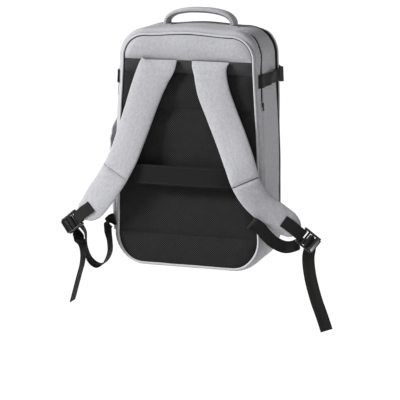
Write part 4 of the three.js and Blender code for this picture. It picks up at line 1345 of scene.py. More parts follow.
@dataclass
class Route:
    """Stations of a band: middle, direction across, width and thickness at each."""

    at: Array
    across: Array
    width: Array
    thick: Array

    @staticmethod
    def through(at: Array, across: Array, width: Array, thick: Array, steps: int) -> "Route":
        """Smooth stations through chosen ones: the middles on a curve, the rest eased.

        Args:
            at: Middles of the chosen stations.
            across: Directions across there.
            width: Widths there.
            thick: Thicknesses there.
            steps: Steps from one station to the next.

        Returns:
            The route.
        """
        spans = len(at) - 1
        place = np.arange(spans * steps + 1) / steps
        i = np.minimum(place.astype(int), spans - 1)
        t = (place - i)[:, None]
        eased = t * t * (3 - 2 * t)
        turned = unit(across[i] * (1 - eased) + across[i + 1] * eased)
        rows = np.arange(len(at))
        wide, deep = np.interp(place, rows, width), np.interp(place, rows, thick)
        return Route(catmull(at, steps), turned, wide, deep)

    def axes(self) -> tuple[Array, Array, Array]:
        """Directions along, across and out at each station."""
        along = unit(np.gradient(self.at, axis=0))
        across = unit(self.across - along * np.sum(along * self.across, -1, keepdims=True))
        return along, across, np.cross(across, along)

    def grid(self, profile: Array) -> Array:
        """Points of a profile, in shares of half the width and thickness, at each station."""
        _, across, out = self.axes()
        u = profile[..., 0] * self.width[:, None] / 2
        v = profile[..., 1] * self.thick[:, None] / 2
        return self.at[:, None] + across[:, None] * u[..., None] + out[:, None] * v[..., None]

    def band(self, name: str, profile: Array) -> bpy.types.Object:
        """A closed band with a profile along the route."""
        return surface(name, self.grid(profile), False, True, Ends.STRIPS)

    def woven(self, name: str, node: str) -> None:
        """Flat webbing along the route, in place of its node."""
        dress(self.band(name, webbing_profile()), Finish.WEBBING, Slot.WEBBING, node)

    def line(self, share: float, lift: float) -> tuple[Array, Array]:
        """A line along the route at a share of half its width, and its outward directions."""
        _, across, out = self.axes()
        at = self.at + across * (share * self.width / 2)[:, None] + out * (lift * self.thick / 2)[:, None]
        return at, out

    def part(self, start: int, stop: int) -> "Route":
        """Stations from start up to stop."""
        cut = slice(start, stop)
        return Route(self.at[cut], self.across[cut], self.width[cut], self.thick[cut])


@dataclass(frozen=True)
class Pose:
    """A right-handed frame in space: where a piece starts and its three directions."""

    origin: Array
    along: Array
    out: Array
    across: Array

    def put(self, local: Array) -> Array:
        """Points in space of points given along, out and across."""
        axes = np.stack([self.along, self.out, self.across])
        return self.origin + local @ axes


def slab(name: str, pose: Pose, shape: Array, low: float, high: float, bevel: float) -> bpy.types.Object:
    """A flat moulding: an outline drawn between two places with rounded edges.

    Args:
        name: Name of the piece.
        pose: Its frame; the outline lies in the first two directions.
        shape: Closed outline in metres.
        low: Start along the third direction.
        high: End along the third direction.
        bevel: Radius of the rounded edges.

    Returns:
        The piece, with rings that close at the middle of both faces.
    """
    ring = resampled(shape, 96, closed=True)
    ahead = np.roll(ring, -1, 0) - np.roll(ring, 1, 0)
    area = np.sum(ring[:, 0] * np.roll(ring[:, 1], -1) - ring[:, 1] * np.roll(ring[:, 0], -1))
    inward = unit(np.stack([-ahead[:, 1], ahead[:, 0]], -1)) * np.sign(area)
    turn = np.linspace(0, math.pi / 2, 5)
    inset = bevel * (1 - np.sin(turn))
    rise = bevel * (1 - np.cos(turn))
    levels = np.concatenate([low + rise, (high - rise)[::-1]])
    insets = np.concatenate([inset, inset[::-1]])
    rings = ring[None] + inward[None] * insets[:, None, None]
    local = np.concatenate([rings, np.broadcast_to(levels[:, None, None], (*rings.shape[:2], 1))], -1)
    return surface(name, pose.put(local), False, True, Ends.CAPS)


def rod(name: str, pose: Pose, radius: float, low: float, high: float) -> bpy.types.Object:
    """A round bar across a frame, with softened ends."""
    turns = np.arange(20) * 2 * math.pi / 20
    stops = np.array([(low, 0.8), (low + 0.2 * radius, 1.0), (high - 0.2 * radius, 1.0), (high, 0.8)])
    ring = np.stack([np.cos(turns), np.sin(turns), 0 * turns], -1) * radius
    local = ring[None] * stops[:, 1][:, None, None]
    local[..., 2] += stops[:, :1]
    return surface(name, pose.put(local), False, True, Ends.CAPS)


@dataclass
class Harness:
    """One side's shoulder strap with its patch, ladder lock and adjusting webbing.

    The strap's rows hold: across, off the back plane and up as shares of the body's mean half
    width, depth and height; the direction of the width; width and thickness as shares. The
    webbing's rows hold the first six of these.
    """

    form: BodyForm
    side: Side
    strap_rows: tuple[tuple[float, ...], ...]
    loop_rows: tuple[tuple[float, ...], ...]
    tail_rows: tuple[tuple[float, ...], ...]
    cross_seam: float
    strap_width: float = 70 * MM
    strap_thick: float = 12 * MM
    web_width: float = 25 * MM
    web_thick: float = 2 * MM
    lock_width: float = 36 * MM
    lock_rail: float = 4.5 * MM
    lock_bar: float = 2.2 * MM
    lock_pitch: float = 9 * MM
    lock_reach: float = 13 * MM
    lock_slack: float = 1 * MM
    # Radius of the near-black cord that paints the shade in the strap's seam groove.
    seam_line: float = 0.7 * MM
    seam_rows: tuple[tuple[str, float], ...] = (("near", -2.2 * MM), ("far", 2.2 * MM))
    strap_steps: int = 14
    patch_length: float = 34 * MM
    seam_height: float = 93 * MM
    seam_back: float = 2 * MM

    def placed(self, rows: Sequence[Sequence[float]]) -> tuple[Array, Array, Array]:
        """Places, directions across and the remaining columns of a table."""
        table = np.array(rows)
        form = self.form
        at = np.stack([table[:, 0] * form.half, form.back_y - table[:, 1] * form.depth,
                       table[:, 2] * form.height], -1)
        return at, unit(table[:, 3:6]), table[:, 6:]

    def route(self, steps: int) -> Route:
        """The strap's stations."""
        at, across, sizes = self.placed(self.strap_rows)
        width = sizes[:, 0] * self.strap_width
        thick = sizes[:, 1] * self.strap_thick
        return Route.through(at, across, width, thick, steps)

    def tip(self) -> Pose:
        """The frame at the strap's tip, out of its visible face."""
        at, across, _ = self.placed(self.strap_rows)
        along = unit(at[-1] - at[-2])
        across = unit(across[-1] - along * (across[-1] @ along))
        out = np.cross(across, along)
        return Pose(at[-1], along, -out if out[1] > 0 else out, across)

    def facing(self, route: Route) -> float:
        """Sign that turns the route's outward direction to the visible face."""
        return -1.0 if route.axes()[2][:, 1].mean() > 0 else 1.0

    def strap(self) -> None:
        """The padded strap: a cloth face and a mesh underside, bound along the edges, with one
        sewn line across, filled by a cloth simulation that holds the rim."""
        route = self.route(self.strap_steps)
        face = self.facing(route)
        word = self.side.word
        name = f"shoulder_strap_{word}"
        walked = lengths(route.at, 0)
        seam_at = walked[int(self.cross_seam * self.strap_steps)]
        dip = 1 - 0.34 * np.exp(-((walked - seam_at) / 3.5 / MM) ** 2)[:, None]
        u = -np.cos(np.linspace(0.12, math.pi - 0.12, 31))[None] / math.cos(0.12)
        crown = dome(u)
        wave = ripple(walked[:, None], u * 30 * MM, 50 + self.side.value, 70 * MM, 0.04)
        pucker = ripple(walked[:, None], u * 30 * MM, 60 + self.side.value, 12 * MM, 0.03)
        near_seam = np.exp(-np.abs(walked - seam_at) / 7 / MM)[:, None]
        height = crown * dip + (wave + pucker * near_seam) * (1 - np.abs(u) ** 4)
        wide = u * 0.965 + 0 * height
        for kind, sign, finish in (("face", face, Finish.CLOTH), ("lining", -face, Finish.LINING)):
            v = height if kind == "face" else crown * 0.96 + 0 * height
            top = np.stack([wide, sign * v], -1)
            floor = np.stack([wide, sign * 0.02 + 0 * v], -1)
            piece = sheet(f"{name}_{kind}", route.grid(top), route.grid(floor))
            held = np.abs(u[0]) > 0.93
            rows = np.abs(walked - seam_at) < 1.5 * MM
            rows[:2] = True
            rows[-2:] = True
            sewn = rows[:, None] | np.concatenate([held, np.ones_like(held)])[None]
            if kind == "face":
                inflate(piece, sewn.ravel(), 2.0, 0.0, 0.5 * MM)
            slot = Slot.CLOTH if kind == "face" else Slot.MESH
            dress(piece, finish, slot, *([name] if kind == "face" else []), fill=0.6)
        self.binding(route, name)
        # Painted shade: a near-black cord in the cross seam's groove.
        self.seam_cord(route, seam_at, face)
        for row, offset in self.seam_rows:
            self.cross_row(route, seam_at + offset, face, f"strap_stitch_{word}_{row}")

    def binding(self, route: Route, name: str) -> None:
        """Cloth binding round both edges of the strap: a flattened tube along each."""
        turns = np.arange(14) * 2 * math.pi / 14
        u = np.cos(turns)[None] * (1.7 * MM / route.width[:, None])
        v = np.sin(turns)[None] * np.full((len(route.at), 1), 0.36)
        for word, share in (("inner", -0.955), ("outer", 0.955)):
            profile = np.stack([u + share, v], -1)
            piece = surface(f"{name}_binding_{word}", route.grid(profile), False, True, Ends.CAPS)
            dress(piece, Finish.CLOTH, Slot.CLOTH)

    def face_line(self, route: Route, place: float, face: float, reach: float,
                  share: float) -> tuple[Array, Array, Array]:
        """A path across the strap's face.

        Args:
            route: The strap's stations.
            place: Length along the strap.
            face: Sign of the visible face.
            reach: Share of the width that the path crosses.
            share: Share of the face's height that it lies at.

        Returns:
            The path, and the directions along the strap and out of it there.
        """
        i = int(np.argmin(np.abs(lengths(route.at, 0) - place)))
        along, across, out = route.axes()
        u = np.linspace(-reach, reach, 40)
        v = dome(u) * share
        path = (route.at[i] + across[i] * (u * route.width[i] / 2)[:, None]
                + out[i] * (face * v * route.thick[i] / 2)[:, None])
        return path, along[i:i + 1], out[i:i + 1]

    def seam_cord(self, route: Route, place: float, face: float) -> None:
        """Painted shade of the sewn seam: a thin near-black cord in its groove."""
        path, along, out = self.face_line(route, place, face, 0.95, 0.72)
        cord = tube(f"strap_seam_{self.side.word}", path, along, out, self.seam_line)
        dress(cord, Finish.SEAM, Slot.WEBBING)

    def cross_row(self, route: Route, place: float, face: float, name: str) -> None:
        """A row of stitches across the strap's face at a length along it."""
        path, _, out = self.face_line(route, place, face, 0.9, 0.78)
        row = stitches(name, path, np.tile(out * face, (40, 1)), 3 * MM, 0.3 * MM)
        dress(row, Finish.THREAD_GREY, Slot.CLOTH)

    def webbing(self, at: Array, across: Array, steps: int) -> Route:
        """Webbing through stations, smoothed."""
        sizes = np.ones(len(at))
        return Route.through(at, across, sizes * self.web_width, sizes * self.web_thick, steps)

    def patch(self) -> None:
        """Webbing sewn on the strap's face: it wraps the lock's first bar and returns below."""
        tip = self.tip()
        route = self.route(8)
        face = self.facing(route)
        _, across, out = route.axes()
        lift = self.web_thick / 2 + 2 * GAP
        over = route.at + out * (face * (route.thick / 2 + lift))[:, None]
        near = np.linalg.norm(route.at - tip.origin, axis=-1) < self.patch_length
        half = route.thick[-1] / 2
        wrap = self.lock_bar + self.web_thick / 2 + GAP
        turns = np.radians(np.linspace(90, -90, 9))
        bend = np.stack([self.lock_reach + wrap * np.cos(turns), wrap * np.sin(turns)], -1)
        local = np.concatenate([[[self.lock_reach * 0.3, half + lift - GAP]], bend,
                                [[self.lock_reach * 0.45, -half], [3 * GAP, self.web_thick - half]]])
        rest = tip.origin + tip.along * local[:, :1] + tip.out * local[:, 1:]
        at = np.concatenate([over[near], rest])
        wide = np.concatenate([across[near], np.tile(tip.across, (len(rest), 1))])
        route = self.webbing(at, wide, 3)
        name = f"strap_patch_{self.side.word}"
        route.woven(f"{name}_webbing", name)
        sewn = route.part(0, 3 * int(near.sum()))
        outward = -1.0 if sewn.axes()[2][:, 1].mean() > 0 else 1.0
        for word, share in (("inner", -0.8), ("outer", 0.8)):
            path, normal = sewn.line(share, outward)
            dress(stitches(f"{name}_stitch_{word}", path, normal * outward, 2.8 * MM, 0.32 * MM),
                  Finish.THREAD_BLACK, Slot.WEBBING)

    def lock(self) -> None:
        """The ladder lock: two rails, a thumb tab and three bars."""
        tip = self.tip()
        centre = tip.origin + tip.along * self.lock_reach
        half = self.lock_width / 2
        inner = half - self.lock_rail
        pitch = self.lock_pitch
        name = f"ladder_lock_{self.side.word}"
        rail = np.array([(-0.5, -0.2), (-0.4, 0.3), (0.1, 0.5), (0.9, 0.42), (1.6, 0.45), (2.3, 0.55),
                         (2.9, 0.5), (3.6, 0.75), (3.9, 0.62), (3.6, 0.2), (3.1, -0.3), (2.2, -0.38),
                         (1, -0.34), (0.1, -0.38)])
        tab = np.array([(2.78, -0.22), (3.15, -0.26), (3.75, 0.28), (4.15, 0.85), (3.95, 1),
                        (3.45, 0.55), (2.78, 0.24)])
        rounded = catmull(np.concatenate([rail, rail[:1]]), 8)[:-1] * pitch
        lip = catmull(np.concatenate([tab, tab[:1]]), 8)[:-1] * pitch
        pose = Pose(centre, tip.along, tip.out, np.cross(tip.along, tip.out))
        pieces = [slab(f"{name}_rail_low", pose, rounded, -half, -inner, 1.1 * MM),
                  slab(f"{name}_rail_high", pose, rounded, inner, half, 1.1 * MM),
                  slab(f"{name}_tab", pose, lip, -inner - MM, inner + MM, 0.7 * MM)]
        for k in range(3):
            bar = Pose(centre + tip.along * (k * pitch), pose.along, pose.out, pose.across)
            pieces.append(rod(f"{name}_bar_{k}", bar, self.lock_bar, -inner - MM, inner + MM))
        dress(joined(f"{name}_moulding", pieces), Finish.PLASTIC, Slot.PLASTIC, name)

    def through_lock(self) -> Array:
        """Webbing up the lock's second slot, over its last bar and down the third."""
        tip = self.tip()
        shares = np.array([(-1, -1.9), (-1, -0.7), (-1, 0.25), (-0.72, 0.8), (0, 1),
                           (0.72, 0.8), (1, 0.25), (1, -0.7), (1, -1.9)])
        bar = self.lock_reach + 2 * self.lock_pitch
        over = self.lock_bar + self.web_thick / 2 + self.lock_slack
        return (tip.origin + tip.along * (bar + shares[:, :1] * self.lock_pitch / 2)
                + tip.out * (shares[:, 1:] * over))

    def adjuster(self) -> None:
        """Adjusting webbing: from the side seam in a slack loop to the lock, then its tail."""
        form = self.form
        seam = [np.array([value]) for value in (self.seam_height, self.seam_back)]
        start = form.side_skin(self.side, *seam, np.array([GAP + self.web_thick]))
        up = form.side_up(self.side, *seam)
        loop, loop_across, _ = self.placed(self.loop_rows)
        tail, tail_across, _ = self.placed(self.tail_rows)
        through = self.through_lock()
        tip = np.tile(self.tip().across, (len(through), 1))
        at = np.concatenate([start, loop, through, tail])
        across = np.concatenate([up, loop_across, tip, tail_across])
        route = self.webbing(at, across, 10)
        name = f"adjuster_webbing_{self.side.word}"
        route.woven(f"{name}_woven", name)

    def build(self) -> None:
        """Builds the strap's pieces."""
        self.strap()
        self.patch()
        self.lock()
        self.adjuster()


@dataclass
class Compression:
    """One side's compression strap: sewn anchor, webbing, fastened buckle and front tab."""

    form: BodyForm
    side: Side
    height: float = 391 * MM
    web_width: float = 25 * MM
    web_thick: float = 2 * MM
    anchor: tuple[float, float] = (2 * MM, 24 * MM)
    buckle_back: float = 124 * MM
    buckle_length: float = 34 * MM
    buckle_width: float = 31 * MM
    buckle_thick: float = 10 * MM
    slack: float = 4 * MM
    twist: float = 0.3
    clear: float = 0.4 * MM

    def run(self, backs: Array, thick: float, width: float, lift: Array) -> Route:
        """A band round the side at the strap's height."""
        tall = np.full(len(backs), self.height)
        at = self.form.side_skin(self.side, tall, backs, self.clear + thick / 2 + lift)
        up = self.form.side_up(self.side, tall, backs)
        return Route(at, up, np.full(len(backs), width), np.full(len(backs), thick))

    def anchor_piece(self) -> None:
        """The sewn patch over the webbing's root, with two rows of stitches."""
        backs = np.linspace(*self.anchor, 30)
        route = self.run(backs, self.web_thick + MM, self.web_width + 2 * MM, 0 * backs)
        name = f"side_anchor_{self.side.word}"
        route.woven(f"{name}_webbing", name)
        face = float(np.sign(route.axes()[2][15, 0] * self.side.value))
        for word, share in (("low", -0.75), ("high", 0.75)):
            path, out = route.part(4, 27).line(share, face)
            dress(stitches(f"{name}_stitch_{word}", path, out * face, 2.6 * MM, 0.3 * MM),
                  Finish.THREAD_BLACK, Slot.WEBBING)

    def webbing(self) -> None:
        """Webbing from the anchor to the buckle, slack and slightly turned in the middle."""
        start = self.anchor[1] + GAP
        t = np.linspace(0, 1, 60)
        backs = start + (self.buckle_back - GAP - start) * t
        middle = (self.buckle_thick - self.web_thick) / 2
        lift = self.slack * np.sin(math.pi * t) + middle * np.clip(t * 5 - 4, 0, 1)
        route = self.run(backs, self.web_thick, self.web_width, lift)
        along, across, out = route.axes()
        turn = (self.twist * np.sin(math.pi * t) ** 2 * np.sin(2.6 * math.pi * t))[:, None]
        route.across = across * np.cos(turn) + out * np.sin(turn)
        name = f"side_webbing_{self.side.word}"
        route.woven(f"{name}_woven", name)

    def tab(self) -> None:
        """The short tab from the buckle to the front's seam."""
        backs = np.linspace(self.buckle_back + self.buckle_length + 2 * MM, self.form.depth - MM, 20)
        route = self.run(backs, self.web_thick, self.web_width, 0 * backs)
        name = f"side_tab_{self.side.word}"
        route.woven(f"{name}_webbing", name)

    def pose(self) -> Pose:
        """The buckle's frame: along the side, up it and out of it."""
        form = self.form
        tall = np.array([self.height])
        backs = self.buckle_back + self.buckle_length * np.linspace(0, 1, 5)
        start, *mid, end = form.side_skin(self.side, tall + 0 * backs, backs, 2 * self.clear + 0 * backs)
        along = unit(end - start)
        up = form.side_up(self.side, tall, np.array([self.buckle_back]))[0]
        up = unit(up - along * (up @ along))
        out = np.cross(along, up) * self.side.value
        rise = max(0.0, *[float((place - start) @ out) for place in mid])
        return Pose(start + out * rise, along, up * self.side.value, out)

    def buckle(self) -> None:
        """The fastened buckle: a socket, a plug with two prongs and a tongue between, and three ridges on
        top.
        """
        pose = self.pose()
        name = f"side_buckle_{self.side.word}"
        size = np.array([self.buckle_length, self.buckle_width])
        thick = self.buckle_thick
        socket = mirrored([(0.4, -0.44), (0.62, -0.46), (0.7, -0.5), (0.97, -0.5), (1, -0.46)]) * size
        plug = mirrored([(0, -0.46), (0.04, -0.5), (0.26, -0.5), (0.34, -0.42)]) * size
        prong = np.array([(0.28, 0.24), (0.56, 0.36), (0.66, 0.48), (0.72, 0.46), (0.66, 0.2),
                          (0.3, 0.14)]) * size
        tongue = mirrored([(0.3, -0.06), (0.7, -0.05)]) * size
        ridge = mirrored([(0.74, -0.36), (0.78, -0.38)]) * size
        mirror = prong[::-1] * np.array([1, -1])
        pieces = [slab(f"{name}_socket", pose, socket, 0.3 * MM, thick, 1.6 * MM),
                  slab(f"{name}_plug", pose, plug, 0.8 * MM, thick - 0.5 * MM, 1.5 * MM),
                  slab(f"{name}_prong_high", pose, prong, 3 * MM, thick - 3 * MM, 0.7 * MM),
                  slab(f"{name}_prong_low", pose, mirror, 3 * MM, thick - 3 * MM, 0.7 * MM),
                  slab(f"{name}_tongue", pose, tongue, 3 * MM, thick - 3 * MM, 0.4 * MM)]
        for k in range(3):
            placed = ridge + np.array([0.07 * k * size[0], 0.0])
            low, high = thick - 0.5 * MM, thick + 0.35 * MM
            pieces.append(slab(f"{name}_ridge_{k}", pose, placed, low, high, 0.3 * MM))
        dress(joined(f"{name}_moulding", pieces), Finish.PLASTIC, Slot.PLASTIC, name)

    def build(self) -> None:
        """Builds the strap's pieces."""
        self.anchor_piece()
        self.webbing()
        self.tab()
        self.buckle()


@dataclass
class Sliders:
    """Sliders of the two zips, each with a hanging puller."""

    form: BodyForm
    length: float = 10 * MM
    width: float = 8 * MM
    thick: float = 2.6 * MM
    puller_main: float = 17 * MM
    puller_laptop: float = 7 * MM
    puller_width: float = 5 * MM
    clear: float = 0.45 * MM

    def slider(self, name: str, side: Side, z: float, back: float, puller_length: float) -> None:
        """One slider: a body, a bridge and a puller with a rounded end.

        Args:
            name: Name of the slider.
            side: Side of the bag.
            z: Height of its upper end.
            back: Distance of its middle from the back seam.
            puller_length: Length of its puller.
        """
        form = self.form
        at = [np.array([z]), np.array([back])]
        origin = form.side_skin(side, *at, np.array([self.clear]))[0]
        out = unit(form.side_skin(side, *at, np.array([2 * self.clear]))[0] - origin)
        foot = form.side_skin(side, np.array([z - self.length - puller_length]), at[1],
                              np.array([self.clear]))[0]
        up = unit(origin - foot)
        pose = Pose(origin, unit(np.cross(up, out)), up, out)
        half, tongue = self.width / 2, self.puller_width / 2
        end = self.length + puller_length
        body = np.array([(-half, -0.06 * self.length), (-0.7 * half, -self.length),
                         (0.7 * half, -self.length), (half, -0.06 * self.length),
                         (0.5 * half, 0), (-0.5 * half, 0)])
        turns = np.linspace(math.pi, 2 * math.pi, 16)
        tip = np.stack([tongue * np.cos(turns), tongue - end + tongue * np.sin(turns)], -1)
        puller = np.concatenate([[(0.6 * tongue, -self.length - 0.6 * tongue),
                                  (-0.6 * tongue, -self.length - 0.6 * tongue),
                                  (-tongue, -self.length - 2 * tongue)], tip,
                                 [(tongue, -self.length - 2 * tongue)]])
        bridge = np.array([(-0.9 * MM, -0.15 * self.length), (-0.9 * MM, -1.1 * self.length),
                           (0.9 * MM, -1.1 * self.length), (0.9 * MM, -0.15 * self.length)])
        pieces = [slab(f"{name}_body", pose, body, 0.0, 0.55 * self.thick, 0.4 * MM),
                  slab(f"{name}_bridge", pose, bridge, 0.45 * self.thick, self.thick, 0.5 * MM),
                  slab(f"{name}_puller", pose, puller, 0.3 * self.thick, 0.9 * self.thick, 0.5 * MM)]
        dress(joined(f"{name}_metal", pieces), Finish.METAL, Slot.METAL, name)

    def build(self) -> None:
        """Builds both sliders."""
        form = self.form
        seat = 0.04 * form.depth + form.zip_width / 2
        self.slider("laptop_slider", Side.RIGHT, form.laptop_zip_end, seat, self.puller_laptop)
        self.slider("main_slider", Side.LEFT, 335 * MM, form.main_zip_back, self.puller_main)


@dataclass
class TopHandle:
    """The padded carrying loop and its two sewn feet."""

    form: BodyForm
    half: float = 71 * MM
    rise: float = 29 * MM
    width: float = 28 * MM
    thick: float = 11 * MM
    # Radius of the near-black cords that paint the shade under the loop's edges.
    seam_line: float = 0.5 * MM
    foot_length: float = 26 * MM
    foot_width: float = 34 * MM
    foot_thick: float = 1.8 * MM

    def top_at(self, x: Array) -> Array:
        """Height of the bag's top at places across."""
        line = self.form.outline(1600)
        top = line.only((line.out[:, 1] > 0.3) & (line.at[:, 0] >= -1e-6))
        order = np.argsort(top.at[:, 0])
        return np.interp(np.abs(x), top.at[order, 0], top.at[order, 1])

    def arch(self) -> None:
        """The loop: padded cloth, with a near-black cord of painted shade along both edges of its
        underside.
        """
        foot = float(self.top_at(np.array(self.half - self.thick / 2))) + self.foot_thick + 2 * GAP
        shares = np.array([(-1, 0), (-1, 0.2), (-0.94, 0.46), (-0.76, 0.75), (-0.4, 0.95), (0, 1),
                           (0.4, 0.95), (0.76, 0.75), (0.94, 0.46), (1, 0.2), (1, 0)])
        at = np.stack([shares[:, 0] * self.half, 0 * shares[:, 0], foot + shares[:, 1] * self.rise], -1)
        count = np.ones(len(at))
        route = Route.through(at, np.tile([0.0, 1.0, 0.0], (len(at), 1)), count * self.width,
                              count * self.thick, 14)
        dress(route.band("top_handle_cloth", padded_profile(25, 0.45)), Finish.CLOTH, Slot.CLOTH,
              "top_handle", fill=0.6)
        below = -1.0 if route.axes()[2][len(route.at) // 2, 2] > 0 else 1.0
        _, across, out = route.axes()
        # Painted shade: near-black cords along both edges of the underside.
        for word, share in (("rear", -0.985), ("front", 0.985)):
            middle, _ = route.line(share, below * 0.42)
            seam = tube(f"top_handle_seam_{word}", middle, across, out, self.seam_line)
            dress(seam, Finish.SEAM, Slot.WEBBING)

    def foot(self, side: Side) -> None:
        """The cloth patch under one end, with a box of stitches."""
        u = np.linspace(-0.5, 0.5, 26)
        v = np.linspace(-0.5, 0.5, 30)
        x = self.half + u * self.foot_length
        edge = np.minimum(0.5 - np.abs(u)[None], 0.5 - np.abs(v)[:, None])
        thick = self.foot_thick * (0.45 + 0.55 * shoulder(edge, 0.05))
        base = self.top_at(x)[None] + GAP
        wide = side.value * x[None] + 0 * thick
        deep = v[:, None] * self.foot_width + 0 * thick
        name = f"handle_foot_{side.word}"
        outer = np.stack([wide, deep, base + thick], -1)
        inner = np.stack([wide, deep, base + 0 * thick], -1)
        dress(sheet(f"{name}_cloth", outer, inner), Finish.CLOTH, Slot.CLOTH, name)
        loop = np.array([(-0.38, -0.4), (0.38, -0.4), (0.38, 0.4), (-0.38, 0.4), (-0.38, -0.4)])
        path = resampled(loop * np.array([self.foot_length, self.foot_width]), 120)
        spots = np.stack([side.value * (self.half + path[:, 0]), path[:, 1],
                          self.top_at(self.half + path[:, 0]) + GAP + self.foot_thick], -1)
        dress(stitches(f"{name}_stitch", spots, np.tile([0.0, 0.0, 1.0], (120, 1)), 2.8 * MM, 0.32 * MM),
              Finish.THREAD_GREY, Slot.CLOTH)

    def build(self) -> None:
        """Builds the loop and its feet."""
        self.arch()
        for side in Side:
            self.foot(side)


@dataclass
class SidePocket:
    """The open pocket on the wearer's left, with its light rim."""

    form: BodyForm
    back: float = 6 * MM
    front: float = 112 * MM
    foot: float = 70 * MM
    rim_back: float = 205 * MM
    rim_front: float = 306 * MM
    swell: float = 26 * MM
    wall: float = 2.4 * MM
    rim: float = 9 * MM
    rim_wall: float = 3.4 * MM
    clear: float = 0.4 * MM

    def rim_at(self, w: Array) -> Array:
        """Height of the mouth across the pocket."""
        return self.rim_back + (self.rim_front - self.rim_back) * np.sin(math.pi / 2 * w)

    def skin(self, w: Array, v: Array, z: Array, lift: Array) -> Array:
        """Points of the pocket: it swells by powers of sines from its seams."""
        back = self.back + (self.front - self.back) * w
        bulge = self.swell * np.sin(math.pi * np.clip(w, 0, 1)) ** 0.7 * np.sin(math.pi / 2 * v) ** 0.6
        shape = np.broadcast(w, z)
        flat = [np.broadcast_to(part, shape.shape) for part in (z, back, self.clear + lift + bulge)]
        return self.form.side_skin(Side.LEFT, *flat)

    def build(self) -> None:
        """Builds the pocket with gathers below its rim, and the rim."""
        w = (1 - np.cos(np.linspace(0, math.pi, 70)))[None] / 2
        v = (np.linspace(0, 1, 80) ** 1.2)[:, None]
        top = self.rim_at(w) - self.rim
        z = self.foot + (top - self.foot) * v
        around = w * (self.front - self.back)
        gather = ripple(around, 0.25 * z, 71, 13 * MM, 0.8 * MM) * (v ** 4) * np.sin(math.pi * w) ** 0.5
        fold = ripple(around, z, 72, 60 * MM, 1.1 * MM) * np.sin(math.pi * w) ** 0.5 * np.sin(math.pi * v)
        lift = gather + fold
        outer = self.skin(w, v, z, lift + self.wall)
        piece = sheet("left_side_pocket_cloth", outer, self.skin(w, v, z, lift))
        dress(piece, Finish.CLOTH, Slot.CLOTH, "left_side_pocket")
        rise = np.linspace(0, 1, 10)[:, None]
        z = top + GAP + (self.rim - GAP) * rise
        round_off = self.rim_wall * (0.55 + 0.45 * (1 - np.abs(2 * rise - 1) ** 4))
        lift = ripple(around, 0.25 * z, 71, 13 * MM, 0.8 * MM) * np.sin(math.pi * w) ** 0.5
        one = np.ones_like(rise)
        outer = self.skin(w, one, z, lift + round_off)
        rim = sheet("left_pocket_rim_cloth", outer, self.skin(w, one, z, lift + 0 * z))
        dress(rim, Finish.HEM, Slot.CLOTH, "left_pocket_rim")


@dataclass
class Studio:
    """Camera, lights, floor and world of the main view."""

    eye: tuple[float, float, float] = (1.0385, -3.1589, 0.8217)
    target: tuple[float, float, float] = (0.0258, -0.0825, 0.1449)
    lens: float = 146.7
    floor: float = -1.4
    ambient: float = 0.32
    sun_from: tuple[float, float, float] = (-0.82, -0.42, 0.48)
    sun_power: float = 5.2
    sun_angle: float = 16.0
    floor_reach: float = 40.0

    def camera(self) -> None:
        """The camera of the main view."""
        data = bpy.data.cameras.new("camera")
        data.lens = self.lens
        data.sensor_width = 36.0
        data.dof.use_dof = False
        data.clip_end = 50.0
        camera = linked("camera", data)
        camera.location = self.eye
        away = Vector(self.eye) - Vector(self.target)
        camera.rotation_euler = away.to_track_quat("Z", "Y").to_euler()
        bpy.context.scene.camera = camera

    def sun(self) -> None:
        """The soft sun."""
        data = bpy.data.lights.new("key", "SUN")
        data.energy = self.sun_power
        data.angle = math.radians(self.sun_angle)
        lamp = linked("key", data)
        lamp.rotation_euler = Vector(self.sun_from).to_track_quat("Z", "Y").to_euler()

    def surroundings(self) -> None:
        """A pale floor under the hanging bag, and a white world."""
        bpy.context.scene.view_settings.view_transform = "Standard"
        world = bpy.data.worlds.new("world")
        world.use_nodes = True
        sky = world.node_tree.nodes["Background"].inputs
        sky["Color"].default_value = (1.0, 1.0, 1.0, 1.0)
        sky["Strength"].default_value = self.ambient
        bpy.context.scene.world = world
        shader = Shader("floor_paint")
        material = shader.finish(base_color=(1.0, 1.0, 1.0), roughness=0.9)
        far = self.floor_reach
        spot = np.array([(-far, -far), (-far, far), (far, -far), (far, far)])
        spot = np.concatenate([spot, np.full((4, 1), self.floor)], 1)
        mesh = bpy.data.meshes.new("floor")
        mesh.from_pydata(spot.tolist(), [], [(0, 2, 3, 1)])
        mesh.materials.append(material)
        linked("floor", mesh)

    def build(self) -> None:
        """Builds the studio."""
        self.camera()
        self.sun()
        self.surroundings()


STRAP_RIGHT = (
    (0.322, 0.047, 0.8732, 1, 0, 0, 1.14, 0.33),
    (0.322, 0.073, 0.858, 1, 0, 0.01, 1.08, 0.6),
    (0.335, 0.09, 0.826, 1, 0, 0.04, 0.98, 0.9),
    (0.38, 0.104, 0.758, 0.99, 0, 0.1, 0.98, 1),
    (0.483, 0.114, 0.675, 0.98, 0, 0.17, 0.95, 1),
    (0.63, 0.137, 0.567, 0.97, 0.03, 0.2, 0.94, 1),
    (0.752, 0.17, 0.473, 0.95, 0.08, 0.28, 0.92, 1),
    (0.841, 0.18, 0.394, 0.88, 0.18, 0.42, 0.86, 1),
    (0.939, 0.158, 0.338, 0.8, 0.26, 0.53, 0.82, 1),
    (1.059, 0.128, 0.296, 0.74, 0.31, 0.58, 0.8, 1),
    (1.216, 0.098, 0.26, 0.69, 0.33, 0.64, 0.8, 0.95),
    (1.37, 0.072, 0.226, 0.62, 0.34, 0.7, 0.76, 0.85),
    (1.45, 0.06, 0.207, 0.58, 0.36, 0.72, 0.6, 0.75),
    (1.49, 0.054, 0.197, 0.57, 0.37, 0.73, 0.4, 0.6),
)
